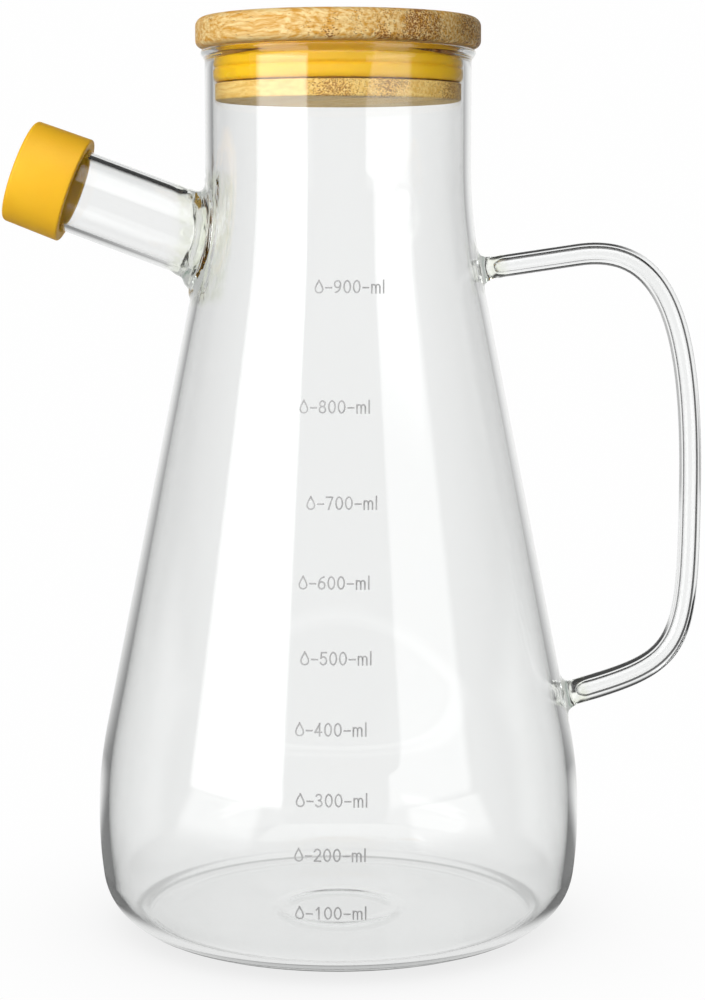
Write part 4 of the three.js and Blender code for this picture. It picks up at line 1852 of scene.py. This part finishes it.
    def _floor(self) -> None:
        """A pale sheet that shows white where it is looked at, darker where the object shades it.

        Rays that the glass reflected or bent see it lit from one side, as a studio's floor is.
        """
        half = self.floor_size / 2
        corners = [(x, y, self.floor_level) for x in (-half, half) for y in (-half, half)]
        mesh = bpy.data.meshes.new("floor")
        mesh.from_pydata(corners, [], [(0, 2, 3, 1)])
        sheet = bpy.data.objects.new("floor", mesh)
        bpy.context.scene.collection.objects.link(sheet)
        material = bpy.data.materials.new("pale_floor")
        material.use_nodes = True
        board = NodeBoard(material.node_tree)
        open_sky = board.add("AmbientOcclusion", {"Distance": self.shade_reach}, samples=16).outputs["AO"]
        shade = board.ranged(open_sky, self.shade)
        spot = board.place()
        way = board.split(spot)
        reach = board.add("VectorMath", {0: spot}, operation="LENGTH").outputs["Value"]
        turn = self._turn(board, way[0], way[1])
        sides = self._round_edge(board, board.math("DIVIDE", way[0], reach), reach)
        under = self._under_handle(board, way[0], reach)
        clear = board.product(shade, sides, self._heel(board, reach), under)
        reflected = self._reflected_floor(board, turn, reach)
        glint = board.product(shade, self._scattered(board, reflected))
        shown = board.between(self._bounced(board), clear, glint)
        glow = board.add("Emission", {"Color": board.grey(shown)})
        plain = board.add("BsdfDiffuse", {"Color": self.floor_grey})
        both = board.add("MixShader", {0: self._seen(board), 1: plain.outputs[0], 2: glow.outputs[0]})
        board.add("OutputMaterial", {"Surface": both.outputs[0]})
        mesh.materials.append(material)

    def _world(self) -> None:
        """Even light for matt surfaces, a white backdrop for the camera, and a studio for the glass.

        Rays that only pass through glass see white walls under a dark ceiling. Rays that the glass
        reflected see the walls, under a dark cloth unless they passed several pieces of glass. Matt
        surfaces behind glass are lit from the key lamp's side.
        """
        world = bpy.data.worlds.new("studio")
        world.use_nodes = True
        bpy.context.scene.world = world
        board = NodeBoard(world.node_tree)
        place = board.add("TexCoord").outputs["Generated"]
        way = board.split(place)
        deep = board.above(board.path("Transmission Depth"), self.over_two)
        cloth = board.highest(board.ranged(way[2], self.hung_cloth), deep)
        walls = self._walls(board, self._turn(board, way[0], way[1]))
        mirrored = self._scattered(board, board.product(walls, cloth))
        sides = self._round_edge(board, way[0], 1.0)
        through = board.product(board.ranged(way[2], self.ceiling), self.white, sides)
        studio = board.between(self._bounced(board), through, mirrored)
        feeds = {0: place, 1: self.key_way}
        facing = board.add("VectorMath", feeds, operation="DOT_PRODUCT").outputs["Value"]
        in_glass = board.ranged(facing, self.ambient_in_glass)
        matt = board.above(board.path("Diffuse Depth"), self.some)
        inside = board.between(matt, studio, in_glass)
        lit = board.between(self._seen(board), self.ambient, inside)
        shown = board.between(board.path("Is Camera Ray"), lit, self.white)
        backdrop = board.add("Background", {"Color": (1.0, 1.0, 1.0), "Strength": shown})
        board.add("OutputWorld", {"Surface": backdrop.outputs[0]})


def hang(
    piece: bpy.types.Object, body: Body, material: bpy.types.Material,
    nodes: tuple[str, ...],
) -> None:
    """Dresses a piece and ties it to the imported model.

    Args:
        piece: new piece.
        body: that it moves with.
        material: its finish.
        nodes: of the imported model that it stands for.
    """
    piece.data.materials.append(material)
    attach(piece, body.value)
    if nodes:
        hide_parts(*nodes)
    LOG.info("%s: %d faces, rides on %s", piece.name, len(piece.data.polygons), body.value)


def main() -> None:
    """Loads the frame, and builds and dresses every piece."""
    logging.basicConfig(level=logging.INFO, format="%(name)s: %(message)s")
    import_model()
    Studio().build()
    mottle, fibre = mottle_group(), fibre_group()
    glass, lid = FusedGlass(), Lid()
    hang(glass.build(), Body.FLASK, GlassFinish().material(), (
        "flask_body", "spout_tube", "spout_weld", "handle_rod", "handle_upper_weld", "handle_lower_weld"))
    hang(ScalePrint().build(), Body.FLASK, InkFinish().material(mottle), ())
    disc = BambooFinish(
        "bamboo_of_disc", (0.95, 0.73, 0.34), (0.70, 0.335, 0.036), (0.27, 0.095, 0.012), 0.56)
    plug = BambooFinish(
        "bamboo_of_plug", (0.95, 0.69, 0.24), (0.80, 0.47, 0.095), (0.38, 0.18, 0.035), 1.0)
    hang(lid.build_disc(), Body.LID, disc.material(fibre), ("lid_disc",))
    hang(lid.build_plug(), Body.LID, plug.material(fibre), ("lid_plug",))
    seal = SiliconeFinish("seal_silicone", (0.92, 0.55, 0.009), (0.87, 0.50, 0.007), 0.3, 0.05)
    cap = SiliconeFinish("cap_silicone", (0.90, 0.50, 0.014), (0.85, 0.455, 0.010), 0.5, 0.12)
    hang(lid.build_seal(), Body.SEAL, seal.material(mottle), ("seal_ring",))
    hang(SpoutCap().build(), Body.CAP, cap.material(mottle), ("spout_cap",))


if __name__ == "__main__":
    main()
